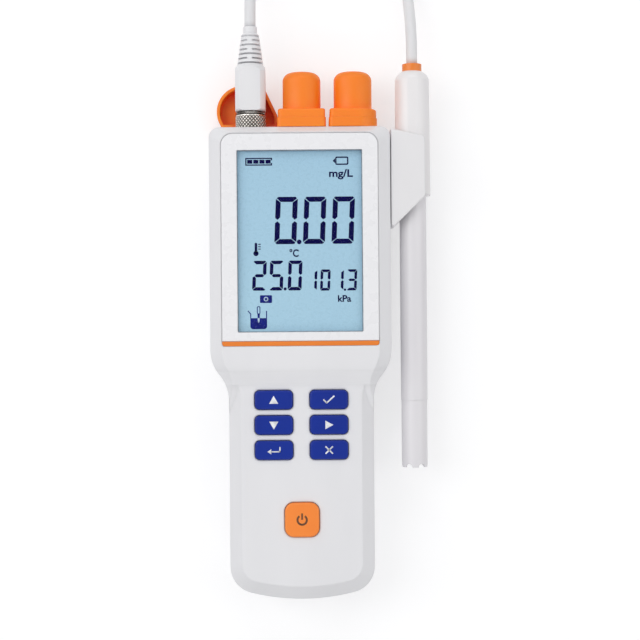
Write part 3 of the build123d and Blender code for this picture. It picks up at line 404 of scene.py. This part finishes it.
FINISHES = (
    (housing, "front_shell"),
    (back_housing, "rear_shell battery_cover"),
    (glass_display, "lcd_panel"),
    (light_guide, "lcd_backlight"),
    (orange_inlay, "accent_strip probe_collar"),
    (orange_rubber, "cap_strip cap_strap_left cap_strap_middle cap_strap_right"),
    (orange_rubber, "cap_left cap_middle cap_right"),
    (orange_key, "power_key"),
    (blue_key, "key_up key_down key_enter key_set key_measure key_cancel"),
    (grey_mat, "keypad_mat"),
    (circuit_board, "main_board"),
    (black_plastic, "display_frame board_parts buzzer temperature_core data_socket"),
    (black_plastic, "electrode_body membrane_cap"),
    (dark_rubber, "housing_seal electrode_ring"),
    (cell_wrap, "batteries"),
    (steel, "housing_screws battery_contacts clip_screws"),
    (nickel, "bnc_socket bnc_nut temperature_socket temperature_nut data_socket_shell plug_body"),
    (white_insulator, "bnc_insulator"),
    (plated, "bnc_contact plug_pin"),
    (boot_vinyl, "plug_boot"),
    (clip_plastic, "probe_clip"),
    (grip_plastic, "probe_grip"),
    (shaft_plastic, "probe_shaft probe_guard"),
    (film, "membrane"),
)
for material, nodes in FINISHES:
    for node in nodes.split():
        for place in bpy.data.objects[node].material_slots:
            place.material = material

# Cable: one line from the plug's boot through the tied coil to the probe's collar

METER_LEAD = [
    (-21.9, 150.6, 18.5),
    (-21.9, 159.9, 18.5),
    (-21.6, 169.9, 15.3),
    (-20.8, 179.9, 10.1),
    (-19.6, 190.4, 4.8),
    (-18.6, 201.6, 2.6),
    (-18.6, 212.8, 2.6),
]
PROBE_LEAD = [
    (47.4, 212.8, 7.6),
    (47.4, 204.9, 7.6),
    (47.7, 195.4, 5.3),
    (48.5, 184.2, 2.9),
    (49.2, 173.1, 4.5),
    (49.9, 162.8, 9.4),
    (50.4, 152.5, 15.1),
    (50.6, 142.9, 18.0),
    (50.6, 133.4, 18.0),
]
CABLE_RADIUS = 2.5
COIL_AT = (14.35, 231.0)
COIL_RADII = [33.0, 28.0, 23.0, 23.0, 28.0, 33.0]
COIL_LAYERS = [2.6, 7.6]
COIL_TURNS = 5.5
POINTS_PER_TURN = 20
TURNS_PER_LAYER = 3
STEP_STARTS_AT = 0.75
TIE_LIFT, TIE_LIFT_WIDTH = 0.9, 0.22
COIL_EASE, COIL_WANDER = 0.35, 0.12


def step(value):
    """Smooth change from nought to one over the last quarter of a turn."""
    t = max(0.0, (value - STEP_STARTS_AT) / (1 - STEP_STARTS_AT))
    return t * t * (3 - 2 * t)


def coil_points():
    """Turns wound clockwise, inwards on the table and outwards on top, raised a little under the tie."""
    points = []
    for i in range(1, int(COIL_TURNS * POINTS_PER_TURN)):
        turn = i / POINTS_PER_TURN
        k = int(turn)
        ahead = min(k + 1, len(COIL_RADII) - 1)
        change = step(turn - k)
        radius = COIL_RADII[k] + (COIL_RADII[ahead] - COIL_RADII[k]) * change
        low = COIL_LAYERS[k // TURNS_PER_LAYER]
        layer = low + (COIL_LAYERS[ahead // TURNS_PER_LAYER] - low) * change
        angle = pi - 2 * pi * turn
        off = (angle - pi / 2 + pi) % (2 * pi) - pi
        lift = TIE_LIFT * exp(-((off / TIE_LIFT_WIDTH) ** 2))
        radius += COIL_EASE + random.uniform(-COIL_WANDER, COIL_WANDER)
        points.append((COIL_AT[0] + radius * cos(angle), COIL_AT[1] + radius * sin(angle), layer + lift))
    return points


def spline_line(name, points):
    """Points along a smooth spline that has the given control points."""
    curve = bpy.data.curves.new(name, "CURVE")
    curve.dimensions = "3D"
    curve.resolution_u = 6
    spline = curve.splines.new("NURBS")
    spline.points.add(len(points) - 1)
    for point, (x, y, z) in zip(spline.points, points):
        point.co = (x * MM, y * MM, z * MM, 1)
    spline.order_u = 3
    spline.use_endpoint_u = True
    holder = bpy.data.objects.new(name, curve)
    mesh = bpy.data.meshes.new_from_object(holder)
    line = [v.co.copy() for v in mesh.vertices]
    bpy.data.objects.remove(holder)
    return line


def tube(name, line, radius, material, sides):
    """Round tube of mesh along a line in metres, riding on nothing yet."""
    verts = []
    tangent = (line[1] - line[0]).normalized()
    across = tangent.orthogonal().normalized()
    for i, point in enumerate(line):
        ahead = line[min(i + 1, len(line) - 1)] - line[max(i - 1, 0)]
        tangent = ahead.normalized()
        across = (across - tangent * across.dot(tangent)).normalized()
        side = tangent.cross(across)
        for k in range(sides):
            angle = 2 * pi * k / sides
            verts.append((point + (across * cos(angle) + side * sin(angle)) * radius * MM) / MM)
    faces = []
    for i in range(len(line) - 1):
        for k in range(sides):
            a = i * sides + k
            b = i * sides + (k + 1) % sides
            faces.append((a, b, b + sides, a + sides))
    faces.append(tuple(range(sides))[::-1])
    faces.append(tuple(range(len(verts) - sides, len(verts))))
    return mesh_object(name, [tuple(v) for v in verts], faces, material, None)


route = METER_LEAD + coil_points() + PROBE_LEAD
cable_line = spline_line("cable_route", route)
cable = tube("cable", cable_line, CABLE_RADIUS, cable_vinyl, 16)
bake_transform(cable)
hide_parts("cable_lead_meter", "cable_coil", "cable_lead_probe")

# Light


def area_light(name, place, target, size, power, size_y):
    """Soft box that points at a place."""
    data = bpy.data.lights.new(name, "AREA")
    data.energy = power
    data.shape = "RECTANGLE"
    data.size = size
    data.size_y = size_y
    lamp = bpy.data.objects.new(name, data)
    lamp.location = place
    lamp.rotation_euler = (Vector(target) - Vector(place)).to_track_quat("-Z", "Y").to_euler()
    scene.collection.objects.link(lamp)


area_light("left_box", (-0.75, 0.25, 0.85), (0, 0, 0), 0.7, 4.65, 1.0)
area_light("right_box", (0.85, 0.10, 0.75), (0, 0, 0), 0.5, 1.9, 0.9)
area_light("foot_box", (0.15, -0.85, 0.70), (0, -0.05, 0), 0.8, 1.55, 0.5)
area_light("top_box", (0.05, 0.95, 0.75), (0, 0.02, 0), 0.9, 2.6, 0.5)

world = bpy.data.worlds.new("world")
scene.world = world
world.use_nodes = True
background = world.node_tree.nodes["Background"]
background.inputs["Color"].default_value = (1, 1, 1, 1)
WORLD_LIGHT, WORLD_SEEN = 0.47, 1.0
SEEN_BY = ("Is Camera Ray", "Is Glossy Ray", "Is Transmission Ray")


def seen_share(add, link):
    """One for rays of the camera, of reflections and of clear pieces, and nought for light."""
    path = add("ShaderNodeLightPath")
    share = path.outputs[SEEN_BY[0]]
    for ray in SEEN_BY[1:]:
        greater = add("ShaderNodeMath")
        greater.operation = "MAXIMUM"
        link(share, greater.inputs[0])
        link(path.outputs[ray], greater.inputs[1])
        share = greater.outputs[0]
    return share


strength = world.node_tree.nodes.new("ShaderNodeMapRange")
strength.inputs["To Min"].default_value = WORLD_LIGHT
strength.inputs["To Max"].default_value = WORLD_SEEN
world_seen = seen_share(world.node_tree.nodes.new, world.node_tree.links.new)
world.node_tree.links.new(world_seen, strength.inputs["Value"])
world.node_tree.links.new(strength.outputs["Result"], background.inputs["Strength"])

FLOOR_NEAR, FLOOR_FAR = 0.4, 1.1
FLOOR_GLOW = 0.5
FLOOR_REACH = 3.0


def floor_material():
    """White table that keeps the shadow, and is plain white far away and in reflections."""
    n = Nodes("floor")
    n.input("Roughness").default_value = 0.9
    seen = seen_share(n.add, n.link)
    spread = n.add("ShaderNodeVectorMath", operation="LENGTH")
    n.link(n.place, spread.inputs[0])
    far = n.math("MULTIPLY", seen, n.span(spread.outputs["Value"], FLOOR_NEAR, FLOOR_FAR))
    near_colour = n.mix(seen, [0.86, 0.86, 0.87, 1], [0.55, 0.55, 0.56, 1])
    n.link(n.mix(far, near_colour, [0, 0, 0, 1]), n.input("Base Color"))
    n.input("Emission Color").default_value = (1, 1, 1, 1)
    glow = n.math("ADD", n.math("MULTIPLY", seen, FLOOR_GLOW), n.math("MULTIPLY", far, 1 - FLOOR_GLOW))
    n.link(glow, n.input("Emission Strength"))
    return n.material


table_mesh = bpy.data.meshes.new("floor")
corners = [(x * FLOOR_REACH, y * FLOOR_REACH, 0) for x, y in ((-1, -1), (1, -1), (1, 1), (-1, 1))]
table_mesh.from_pydata(corners, [], [(0, 1, 2, 3)])
table_mesh.materials.append(floor_material())
table_object = bpy.data.objects.new("floor", table_mesh)
scene.collection.objects.link(table_object)

# Display window: printed border with a clear pane in it

LENS = {"half": 34.4, "low": 9.9, "high": 100.9, "corner": 5.0, "bottom": 33.8, "top": 35.0}
VIEW = {"half": 27.5, "low": 13.8, "high": 93.6, "corner": 0.5}
LENS_FOOT_CORNER = 0.3
RIM = 0.25
PANE_THICKNESS, PANE_SINK = 0.5, 0.02
WINDOW_SHADE_WIDTH = 0.35


def arc(x, y, radius, first, last, steps):
    """Points along an arc between two angles in degrees."""
    points = []
    for k in range(steps + 1):
        angle = radians(first + (last - first) * k / steps)
        points.append((x + radius * cos(angle), y + radius * sin(angle)))
    return points


RING_CORNER_STEPS = 10


def rounded_ring(half, low, high, top_corner, bottom_corner):
    """Points round a rectangle with rounded corners, counter-clockwise from its bottom right corner."""
    points = []
    places = (
        (half, low, bottom_corner, -90),
        (half, high, top_corner, 0),
        (-half, high, top_corner, 90),
        (-half, low, bottom_corner, 180),
    )
    for x, y, radius, start in places:
        cx = x - radius if x > 0 else x + radius
        cy = y - radius if y == high else y + radius
        points += arc(cx, cy, radius, start, start + 90, RING_CORNER_STEPS)
    return points


def loops_mesh(name, loops, material, body, close_first=False, close_last=False, smooth=False):
    """Mesh skinned over loops of equal length, given as lists of points in millimetres."""
    size = len(loops[0])
    verts = [p for loop in loops for p in loop]
    faces = []
    for i in range(len(loops) - 1):
        for k in range(size):
            a = i * size + k
            b = i * size + (k + 1) % size
            faces.append((a, b, b + size, a + size))
    if close_first:
        faces.append(tuple(range(size))[::-1])
    if close_last:
        faces.append(tuple(range((len(loops) - 1) * size, len(loops) * size)))
    return mesh_object(name, verts, faces, material, body, smooth)


def at_height(points, z):
    return [(x, y, z) for x, y in points]


def lens_pieces():
    """White printed border with a softened rim, the clear pane that shows the display, and a painted shadow
    strip just inside the window's edge.
    """
    half, foot, head, corner = LENS["half"], LENS["low"], LENS["high"], LENS["corner"]
    outer = rounded_ring(half, foot, head, corner, LENS_FOOT_CORNER)
    rim = rounded_ring(half - RIM, foot + RIM, head - RIM, corner - RIM, LENS_FOOT_CORNER)
    half, foot, head, corner = VIEW["half"], VIEW["low"], VIEW["high"], VIEW["corner"]
    inner = rounded_ring(half, foot, head, corner, corner)
    line_corner = LENS_FOOT_CORNER
    line = rounded_ring(half - WINDOW_SHADE_WIDTH, foot + WINDOW_SHADE_WIDTH, head - WINDOW_SHADE_WIDTH, line_corner, line_corner)
    low, high = LENS["bottom"], LENS["top"]
    border_loops = [
        at_height(inner, low),
        at_height(outer, low),
        at_height(outer, high - RIM),
        at_height(rim, high),
        at_height(inner, high),
        at_height(inner, low),
    ]
    pane_loops = [at_height(inner, high - PANE_THICKNESS), at_height(inner, high - PANE_SINK)]
    shade_loops = [at_height(inner, low - PANE_SINK), at_height(line, low - PANE_SINK)]
    border = loops_mesh("screen_border", border_loops, border_print, "meter")
    pane = loops_mesh("screen_pane", pane_loops, window_clear, "meter", True, True)
    # Painted shadow along the inside of the window edge.
    loops_mesh("screen_edge_line", shade_loops, window_edge_shade, "meter")
    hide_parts("screen_lens")


lens_pieces()

# Display contents

GLASS_TOP = 32.43
INK_THICKNESS = 0.02
HALO_LIFT, HALO_THICKNESS = 0.03, 0.01


def flat_shapes(name, shapes, height, thickness, material, body):
    """Thin printed shapes: each a list of points in millimetres, made into small plates."""
    verts = []
    faces = []
    for shape in shapes:
        start = len(verts)
        size = len(shape)
        area = sum(a[0] * b[1] - b[0] * a[1] for a, b in zip(shape, shape[1:] + shape[:1]))
        if area < 0:
            shape = shape[::-1]
        verts += [(x, y, height) for x, y in shape]
        verts += [(x, y, height + thickness) for x, y in shape]
        faces.append(tuple(range(start + size, start + 2 * size)))
        for k in range(size):
            a = start + k
            b = start + (k + 1) % size
            faces.append((a, b, b + size, a + size))
    return mesh_object(name, verts, faces, material, body, smooth=False)


SEGMENTS = {
    "0": "abcdef",
    "1": "bc",
    "2": "abged",
    "3": "abgcd",
    "5": "afgcd",
}


SLANT = 0.042
SEGMENT_GAP = 0.1
SEGMENT_CORNER = 0.35


def segment_shapes(text, left, low, width, height, stroke, pitch):
    """Mitred seven-segment figures, leaning slightly to the right, with pointed ends half way up."""
    s, w = stroke, width
    g = SEGMENT_GAP * stroke
    c = SEGMENT_CORNER * stroke
    half = height / 2
    upper = half + 1.6 * g
    top = [
        (c + g, height),
        (w - c - g, height),
        (w - c * 0.2 - g, height - c * 0.8),
        (w - s, height - s),
        (s, height - s),
        (c * 0.2 + g, height - c * 0.8),
    ]
    upper_left = [
        (0, height - c - g),
        (c * 0.3, height - c * 0.7 - 2 * g),
        (s, height - s - 1.4 * g),
        (s, upper + s / 2),
        (s / 2, upper),
        (0, upper + s / 3),
    ]
    middle = [
        (s * 0.62, half),
        (s * 1.05, half + s * 0.45),
        (w - s * 1.05, half + s * 0.45),
        (w - s * 0.62, half),
        (w - s * 1.05, half - s * 0.45),
        (s * 1.05, half - s * 0.45),
    ]
    bars = {
        "a": top,
        "b": [(w - x, y) for x, y in upper_left],
        "c": [(w - x, height - y) for x, y in upper_left],
        "d": [(x, height - y) for x, y in top],
        "e": [(x, height - y) for x, y in upper_left],
        "f": upper_left,
        "g": middle,
    }
    shapes = []
    for place, sign in enumerate(text):
        x0 = left + place * pitch
        for name in SEGMENTS[sign]:
            shapes.append([(x0 + x + SLANT * y, low + y) for x, y in bars[name]])
    return shapes


DISC_SIDES = 20


def disc(x, y, radius):
    return arc(x, y, radius, 0, 360, DISC_SIDES)[:-1]


def box(x0, y0, x1, y1):
    return [(x0, y0), (x1, y0), (x1, y1), (x0, y1)]


def bar(x0, y0, x1, y1, width):
    """Straight stroke between two points."""
    dx, dy = x1 - x0, y1 - y0
    size = sqrt(dx * dx + dy * dy)
    nx, ny = -dy / size * width / 2, dx / size * width / 2
    return [(x0 + nx, y0 + ny), (x0 - nx, y0 - ny), (x1 - nx, y1 - ny), (x1 + nx, y1 + ny)]


def at(px, py):
    return spot(px, py, GLASS_TOP)


CORNER_STEPS = 5


def rounded_box(x0, y0, x1, y1, radius):
    """Filled rectangle with round corners."""
    left, right = x0 + radius, x1 - radius
    low, high = y0 + radius, y1 - radius
    points = []
    for cx, cy, start in ((right, low, -90), (right, high, 0), (left, high, 90), (left, low, 180)):
        points += arc(cx, cy, radius, start, start + 90, CORNER_STEPS)
    return points


LEAST_CORNER = 0.05
FINE_LINE = 0.42


def rounded_frame(x0, y0, x1, y1, radius, width):
    """Outline of a rounded rectangle as a chain of short bars."""
    outer = rounded_box(x0, y0, x1, y1, radius)
    inner_corner = max(LEAST_CORNER, radius - width)
    inner = rounded_box(x0 + width, y0 + width, x1 - width, y1 - width, inner_corner)
    shapes = []
    for k in range(len(outer)):
        a = (k + 1) % len(outer)
        shapes.append([outer[k], outer[a], inner[a], inner[k]])
    return shapes


# Places on the display are pixels of the photograph, sizes are millimetres
BIG_FIGURES = {"foot": (274.3, 244.2), "top": 197.0, "width": 9.65, "stroke": 2.2, "pitch": 12.55}
WARMTH_FIGURES = {"foot": (252.1, 290.7), "top": 260.9, "width": 6.0, "stroke": 1.5, "pitch": 7.5}
WARMTH_LAST = {"left": (287.6, 290.7), "width": 6.1}
PRESSURE_FIGURES = {"foot": (306.8, 290.7), "top": 269.6, "width": 4.35, "stroke": 1.15, "pitch": 5.83}
POINTS = (((299.2, 241.9), 1.02), ((285.2, 288.9), 0.68), ((345.0, 289.7), 0.5))
BATTERY = {"low": (245.3, 165.7), "high": (272.0, 157.8), "line": 0.5, "notch": 1.1}
BATTERY_BARS = {"count": 4, "inset": 0.85, "width": 2.25, "pitch": 2.68}
PROBE_SIGN = {"low": (335.2, 164.9), "high": (348.3, 156.5), "corner": 0.75, "line": 0.58}
PROBE_ARROW = {"gap": 0.1, "size": 1.05}
THERMOMETER_AT = (256.0, 254.6)
READING_BOX = ((260.0, 303.0), (272.0, 295.2))
BEAKER_BOX = ((250.4, 329.2), (267.0, 311.8))
BEAKER_LEVEL, BEAKER_STEM_TOP = 318.2, 306.2
BEAKER_CORNER, BEAKER_FOOT = 1.3, 1.2


def figure_box(figures):
    """Left, foot and height of a row of figures in millimetres."""
    x0, y0 = at(*figures["foot"])
    y1 = at(figures["foot"][0], figures["top"])[1]
    return x0, y0, y1 - y0


def figure_shapes(text, figures):
    x0, y0, height = figure_box(figures)
    return segment_shapes(text, x0, y0, figures["width"], height, figures["stroke"], figures["pitch"])


def battery_shapes():
    """Frame of the battery sign, open between two short ends, with its bars."""
    x0, y0 = at(*BATTERY["low"])
    x1, y1 = at(*BATTERY["high"])
    w, notch = BATTERY["line"], BATTERY["notch"]
    shapes = [
        box(x0, y0, x1, y0 + w),
        box(x0, y1 - w, x1, y1),
        box(x0, y0 + w, x0 + w, y1 - w),
        box(x1 - w, y0 + w, x1, y0 + notch),
        box(x1 - w, y1 - notch, x1, y1 - w),
    ]
    inset = BATTERY_BARS["inset"]
    for k in range(BATTERY_BARS["count"]):
        left = x0 + inset + k * BATTERY_BARS["pitch"]
        shapes.append(box(left, y0 + inset, left + BATTERY_BARS["width"], y1 - inset))
    return shapes


def display_marks():
    """Figures, battery bars and symbols as dark display segments."""
    shapes = figure_shapes("000", BIG_FIGURES) + figure_shapes("25", WARMTH_FIGURES)
    y0, height = figure_box(WARMTH_FIGURES)[1:]
    x0 = at(*WARMTH_LAST["left"])[0]
    stroke, pitch = WARMTH_FIGURES["stroke"], WARMTH_FIGURES["pitch"]
    shapes += segment_shapes("0", x0, y0, WARMTH_LAST["width"], height, stroke, pitch)
    shapes += figure_shapes("1013", PRESSURE_FIGURES)
    for place, radius in POINTS:
        shapes.append(disc(*at(*place), radius))
    shapes += battery_shapes()
    x0, y0 = at(*PROBE_SIGN["low"])
    x1, y1 = at(*PROBE_SIGN["high"])
    shapes += rounded_frame(x0, y0, x1, y1, PROBE_SIGN["corner"], PROBE_SIGN["line"])
    middle = (y0 + y1) / 2
    gap, size = PROBE_ARROW["gap"], PROBE_ARROW["size"]
    shapes.append([(x0 - size, middle), (x0 - gap, middle - size), (x0 - gap, middle + size)])
    return shapes


def thermometer_marks():
    """Small thermometer over the temperature."""
    x, y = at(*THERMOMETER_AT)
    shapes = [disc(x, y + 0.5, 1.15), rounded_box(x - 0.55, y + 0.6, x + 0.55, y + 5.2, 0.54)]
    for rise in (2.4, 3.45, 4.5):
        shapes.append(bar(x + 1.05, y + rise, x + 2.1, y + rise, FINE_LINE))
    return shapes


def reading_sign():
    """Small filled box with a light ring, as a sign of a current reading."""
    low, high = READING_BOX
    x0, y0 = at(*low)
    x1, y1 = at(*high)
    x, y = (x0 + x1) / 2, (y0 + y1) / 2
    ring = rounded_frame(x - 1.0, y - 1.0, x + 1.0, y + 1.0, 0.95, FINE_LINE)
    return [rounded_box(x0, y0, x1, y1, 0.4)], ring


def beaker_shapes():
    """Filled water of the beaker, its glass outline and the dipped probe with its light tip."""
    low, high = BEAKER_BOX
    x0, y0 = at(*low)
    x1, y1 = at(*high)
    level = at(low[0], BEAKER_LEVEL)[1]
    top = at(low[0], BEAKER_STEM_TOP)[1]
    middle = (x0 + x1) / 2
    round_foot = arc(x0 + BEAKER_CORNER, y0 + BEAKER_CORNER, BEAKER_CORNER, 180, 270, 6)
    round_foot += arc(x1 - BEAKER_CORNER, y0 + BEAKER_CORNER, BEAKER_CORNER, 270, 360, 6)
    water = [(x0, level), (x0, y0 + BEAKER_FOOT)] + round_foot + [(x1, level)]
    glass = [
        bar(x0 + 0.2, level - 0.1, x0 + 0.2, y1 - 0.9, FINE_LINE),
        bar(x0 + 0.3, y1 - 1.1, x0 - 1.0, y1 + 0.5, FINE_LINE),
        bar(x1 - 0.2, level - 0.1, x1 - 0.2, y1 + 0.4, FINE_LINE),
    ]
    stem = rounded_frame(middle - 0.75, level + 1.7, middle + 0.75, top, 0.7, 0.36)
    stem.append(
        [
            (middle - 0.42, level),
            (middle + 0.42, level),
            (middle + 0.55, level + 1.8),
            (middle - 0.55, level + 1.8),
        ]
    )
    tip = [
        (middle - 0.42, level),
        (middle + 0.42, level),
        (middle + 0.38, level - 1.3),
        (middle, level - 2.2),
        (middle - 0.38, level - 1.3),
    ]
    return [water], glass + stem, [tip]


sign_box, sign_ring = reading_sign()
beaker_water, beaker_glass, beaker_tip = beaker_shapes()
for name, shapes, material, lift, thickness in (
    ("display_figures", display_marks(), segment_ink, 0.0, INK_THICKNESS),
    ("display_thermometer", thermometer_marks(), segment_ink, 0.0, INK_THICKNESS),
    ("display_sign", sign_box, fill_ink, 0.0, INK_THICKNESS),
    ("display_sign_ring", sign_ring, halo_ink, HALO_LIFT, HALO_THICKNESS),
    ("display_water", beaker_water, fill_ink, 0.0, INK_THICKNESS),
    ("display_beaker", beaker_glass, fill_ink, 0.0, INK_THICKNESS),
    ("display_probe_tip", beaker_tip, halo_ink, HALO_LIFT, HALO_THICKNESS),
):
    flat_shapes(name, shapes, GLASS_TOP + lift, thickness, material, "meter")

LETTER_DEPTH = 0.01
LETTER_BOLDNESS = 0.024


def lettering(name, text, pixel, size, narrow):
    """Short generic unit on the display, its lower left corner at a pixel of the photograph."""
    x, y = at(*pixel)
    data = bpy.data.curves.new(name, "FONT")
    data.body = text
    data.size = size
    data.extrude = LETTER_DEPTH
    data.offset = LETTER_BOLDNESS * size
    holder = bpy.data.objects.new(name, data)
    mesh = bpy.data.meshes.new_from_object(holder)
    bpy.data.objects.remove(holder)
    mesh.transform(Matrix.Diagonal((MM * narrow, MM, MM, 1)))
    mesh.transform(Matrix.Translation((x * MM, y * MM, (GLASS_TOP + LETTER_DEPTH) * MM)))
    mesh.name = name
    mesh.materials.clear()
    mesh.materials.append(segment_ink)
    obj = bpy.data.objects.new(name, mesh)
    scene.collection.objects.link(obj)
    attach(obj, "meter")


lettering("display_unit", "mg/L", (328.6, 176.8), 4.6, 1.17)
lettering("display_degrees", "°C", (289.2, 256.7), 4.5, 0.86)
lettering("display_pressure", "kPa", (337.6, 301.6), 4.0, 1.05)

# Key legends

KEY_TOP = 33.8
LEGEND_THICKNESS = 0.015
LEGEND_LINE = 0.62
KEYS = {
    "key_up": (-12.1, -15.95),
    "key_down": (-12.1, -26.98),
    "key_enter": (-12.1, -38.01),
    "key_set": (12.1, -15.95),
    "key_measure": (12.1, -26.98),
    "key_cancel": (12.1, -38.01),
}


def legend_shapes(name):
    """Plain symbol for each key."""
    x, y = KEYS[name]
    if name == "key_up":
        return [[(x - 2.0, y - 1.6), (x + 2.0, y - 1.6), (x, y + 1.9)]]
    if name == "key_down":
        return [[(x - 2.0, y + 1.6), (x + 2.0, y + 1.6), (x, y - 1.9)]]
    if name == "key_enter":
        return [
            bar(x + 2.6, y + 1.5, x + 2.6, y - 0.85, 0.55),
            bar(x + 2.87, y - 0.6, x - 1.4, y - 0.6, 0.55),
            [(x - 2.9, y - 0.6), (x - 1.2, y - 1.75), (x - 1.2, y + 0.55)],
        ]
    if name == "key_set":
        return [
            bar(x - 2.4, y + 0.1, x - 0.8, y - 1.5, LEGEND_LINE),
            bar(x - 1.05, y - 1.5, x + 2.4, y + 1.7, LEGEND_LINE),
        ]
    if name == "key_measure":
        return [[(x - 1.6, y - 1.9), (x + 1.9, y), (x - 1.6, y + 1.9)]]
    return [
        bar(x - 1.6, y - 1.6, x + 1.6, y + 1.6, LEGEND_LINE),
        bar(x - 1.6, y + 1.6, x + 1.6, y - 1.6, LEGEND_LINE),
    ]


for key in KEYS:
    flat_shapes(key + "_legend", legend_shapes(key), KEY_TOP, LEGEND_THICKNESS, white_ink, key)


POWER_KEY_Y = -68.6
POWER_RING, POWER_LINE = (2.5, 1.6), 0.8
POWER_SIDES = 22


def power_symbol():
    """Open ring with a stroke at its top."""
    outer = arc(0.0, POWER_KEY_Y, POWER_RING[0], 125, 415, POWER_SIDES)
    inner = arc(0.0, POWER_KEY_Y, POWER_RING[1], 125, 415, POWER_SIDES)
    shapes = []
    for k in range(POWER_SIDES):
        shapes.append([outer[k], outer[k + 1], inner[k + 1], inner[k]])
    shapes.append(bar(0.0, POWER_KEY_Y + 0.1, 0.0, POWER_KEY_Y + 2.9, POWER_LINE))
    return shapes


flat_shapes("power_legend", power_symbol(), KEY_TOP, LEGEND_THICKNESS, symbol_ink, "power_key")

# Coupling ring with a diamond knurl

RING_LOW, RING_HIGH = 98.0, 112.0
RING_CREST, RING_ROOT = 6.8, 6.44
RING_SIDES, KNURL_ROWS, KNURL_STARTS = 288, 90, 26
KNURL_LOW, KNURL_HIGH = RING_LOW + 0.9, RING_HIGH - 1.4
KNURL_FADE = 0.5
KNURL_WIDTH = 1.5
RING_FOOT = ((5.75, RING_LOW), (RING_CREST - 0.4, RING_LOW), (RING_CREST, RING_LOW + 0.5))
RING_HEAD = (
    (RING_CREST - 0.02, 110.8),
    (6.35, 111.0),
    (6.35, 111.25),
    (RING_CREST, 111.4),
    (RING_CREST - 0.4, RING_HIGH),
    (5.0, RING_HIGH),
    (5.0, 109.2),
    (5.75, 109.2),
    (5.75, RING_LOW),
)


def ring_loop(y, radius_at):
    """Loop round the ring's axis, with its radius given for each share of a turn."""
    loop = []
    for k in range(RING_SIDES):
        share = k / RING_SIDES
        radius = radius_at(share)
        angle = 2 * pi * share
        loop.append((RING_X + radius * cos(angle), y, RING_Z + radius * sin(angle)))
    return loop


def knurl_loop(y):
    """Loop with the two crossing sets of grooves, which fade out at the ends of the knurl."""
    fade = max(0.0, min(1.0, (y - KNURL_LOW) / KNURL_FADE, (KNURL_HIGH - y) / KNURL_FADE))
    along = (y - KNURL_LOW) * KNURL_STARTS / (2 * pi * RING_CREST)

    def radius_at(share):
        ridge = 1.0
        for way in (1, -1):
            phase = (share * KNURL_STARTS + way * along) % 1.0
            ridge = min(ridge, abs(phase - 0.5) * 2)
        return RING_CREST - (RING_CREST - RING_ROOT) * fade * (1 - min(1.0, ridge * KNURL_WIDTH))

    return ring_loop(y, radius_at)


def knurled_ring():
    """Turned ring: plain lips at both ends and a diamond knurl between them."""
    loops = [ring_loop(y, lambda share, radius=radius: radius) for radius, y in RING_FOOT]
    for i in range(KNURL_ROWS + 1):
        loops.append(knurl_loop(KNURL_LOW + (KNURL_HIGH - KNURL_LOW) * i / KNURL_ROWS))
    loops += [ring_loop(y, lambda share, radius=radius: radius) for radius, y in RING_HEAD]
    ring = loops_mesh("knurled_ring", loops, ring_nickel, "coupling_ring")
    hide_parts("plug_coupling_ring")


knurled_ring()

# Hook and loop band round the coil


def fuzzy_band():
    """Black hook and loop material with a fibrous nap."""
    n = Nodes("fuzzy_band")
    nap = n.noise(2600, 4, 0.7)
    n.link(n.mix(n.span(nap, 0.3, 0.75), linear(20, 20, 22), linear(58, 58, 62)), n.input("Base Color"))
    n.input("Roughness").default_value = 0.9
    n.input("Sheen Weight").default_value = 0.4
    n.link(n.bump(nap, 0.00015, 0.8), n.input("Normal"))
    return n.material


BAND_THICKNESS = 0.75
BAND_CORNERS = (2.2, 1.4)
BAND_SIDES = ((0, 1), (0, 0.6), (0, 0), (0, -0.6), (0, -1))
BAND_INSIDE = ((BAND_THICKNESS, -1), (BAND_THICKNESS, 0), (BAND_THICKNESS, 1), (0, 1))
BAND_EDGE = 0.2
BAND_WAVE = 0.12
END_THICKNESS = 0.4
END_WIDTHS = (1.0, 1.0, 1.0, 1.0, 1.0, 1.0, 1.0, 0.93, 0.75)


def coil_tie():
    """Band wrapped round the coil's section, with its loose end lying on top."""
    low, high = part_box("cable_tie")
    middle = (low + high) / 2 / MM
    half = (high - low) / 2 / MM
    half_y = half.y - 0.05
    top = half.z - 0.45
    profile = rounded_ring(half_y, 0.05 - half.z, top, *BAND_CORNERS)
    loops = []
    for depth, side in BAND_SIDES + BAND_INSIDE:
        loop = []
        for k, (a, b) in enumerate(profile):
            share = 1 - depth / sqrt(a * a + b * b)
            wave = BAND_WAVE * sin(k * 0.9) * abs(side)
            x = middle.x + side * (half.x - BAND_EDGE) + wave
            loop.append((x, middle.y + a * share, middle.z + b * share))
        loops.append(loop)
    band = loops_mesh("tie_band", loops, fuzzy_band(), "meter")
    end = []
    for k, share in enumerate(END_WIDTHS):
        y = middle.y + half_y * (0.14 * k - 0.55)
        z = middle.z + top + 0.06 * sin(k * 0.8)
        width = (half.x - 0.7) * share
        left, right, over = middle.x - width, middle.x + width, z + END_THICKNESS
        end.append([(left, y, z), (right, y, z), (right, y, over), (left, y, over)])
    flap_mesh = loops_mesh("tie_end", end, fuzzy_band(), "meter", close_first=True, close_last=True)
    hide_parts("cable_tie")
    return [band, flap_mesh]


tie_pieces = coil_tie()
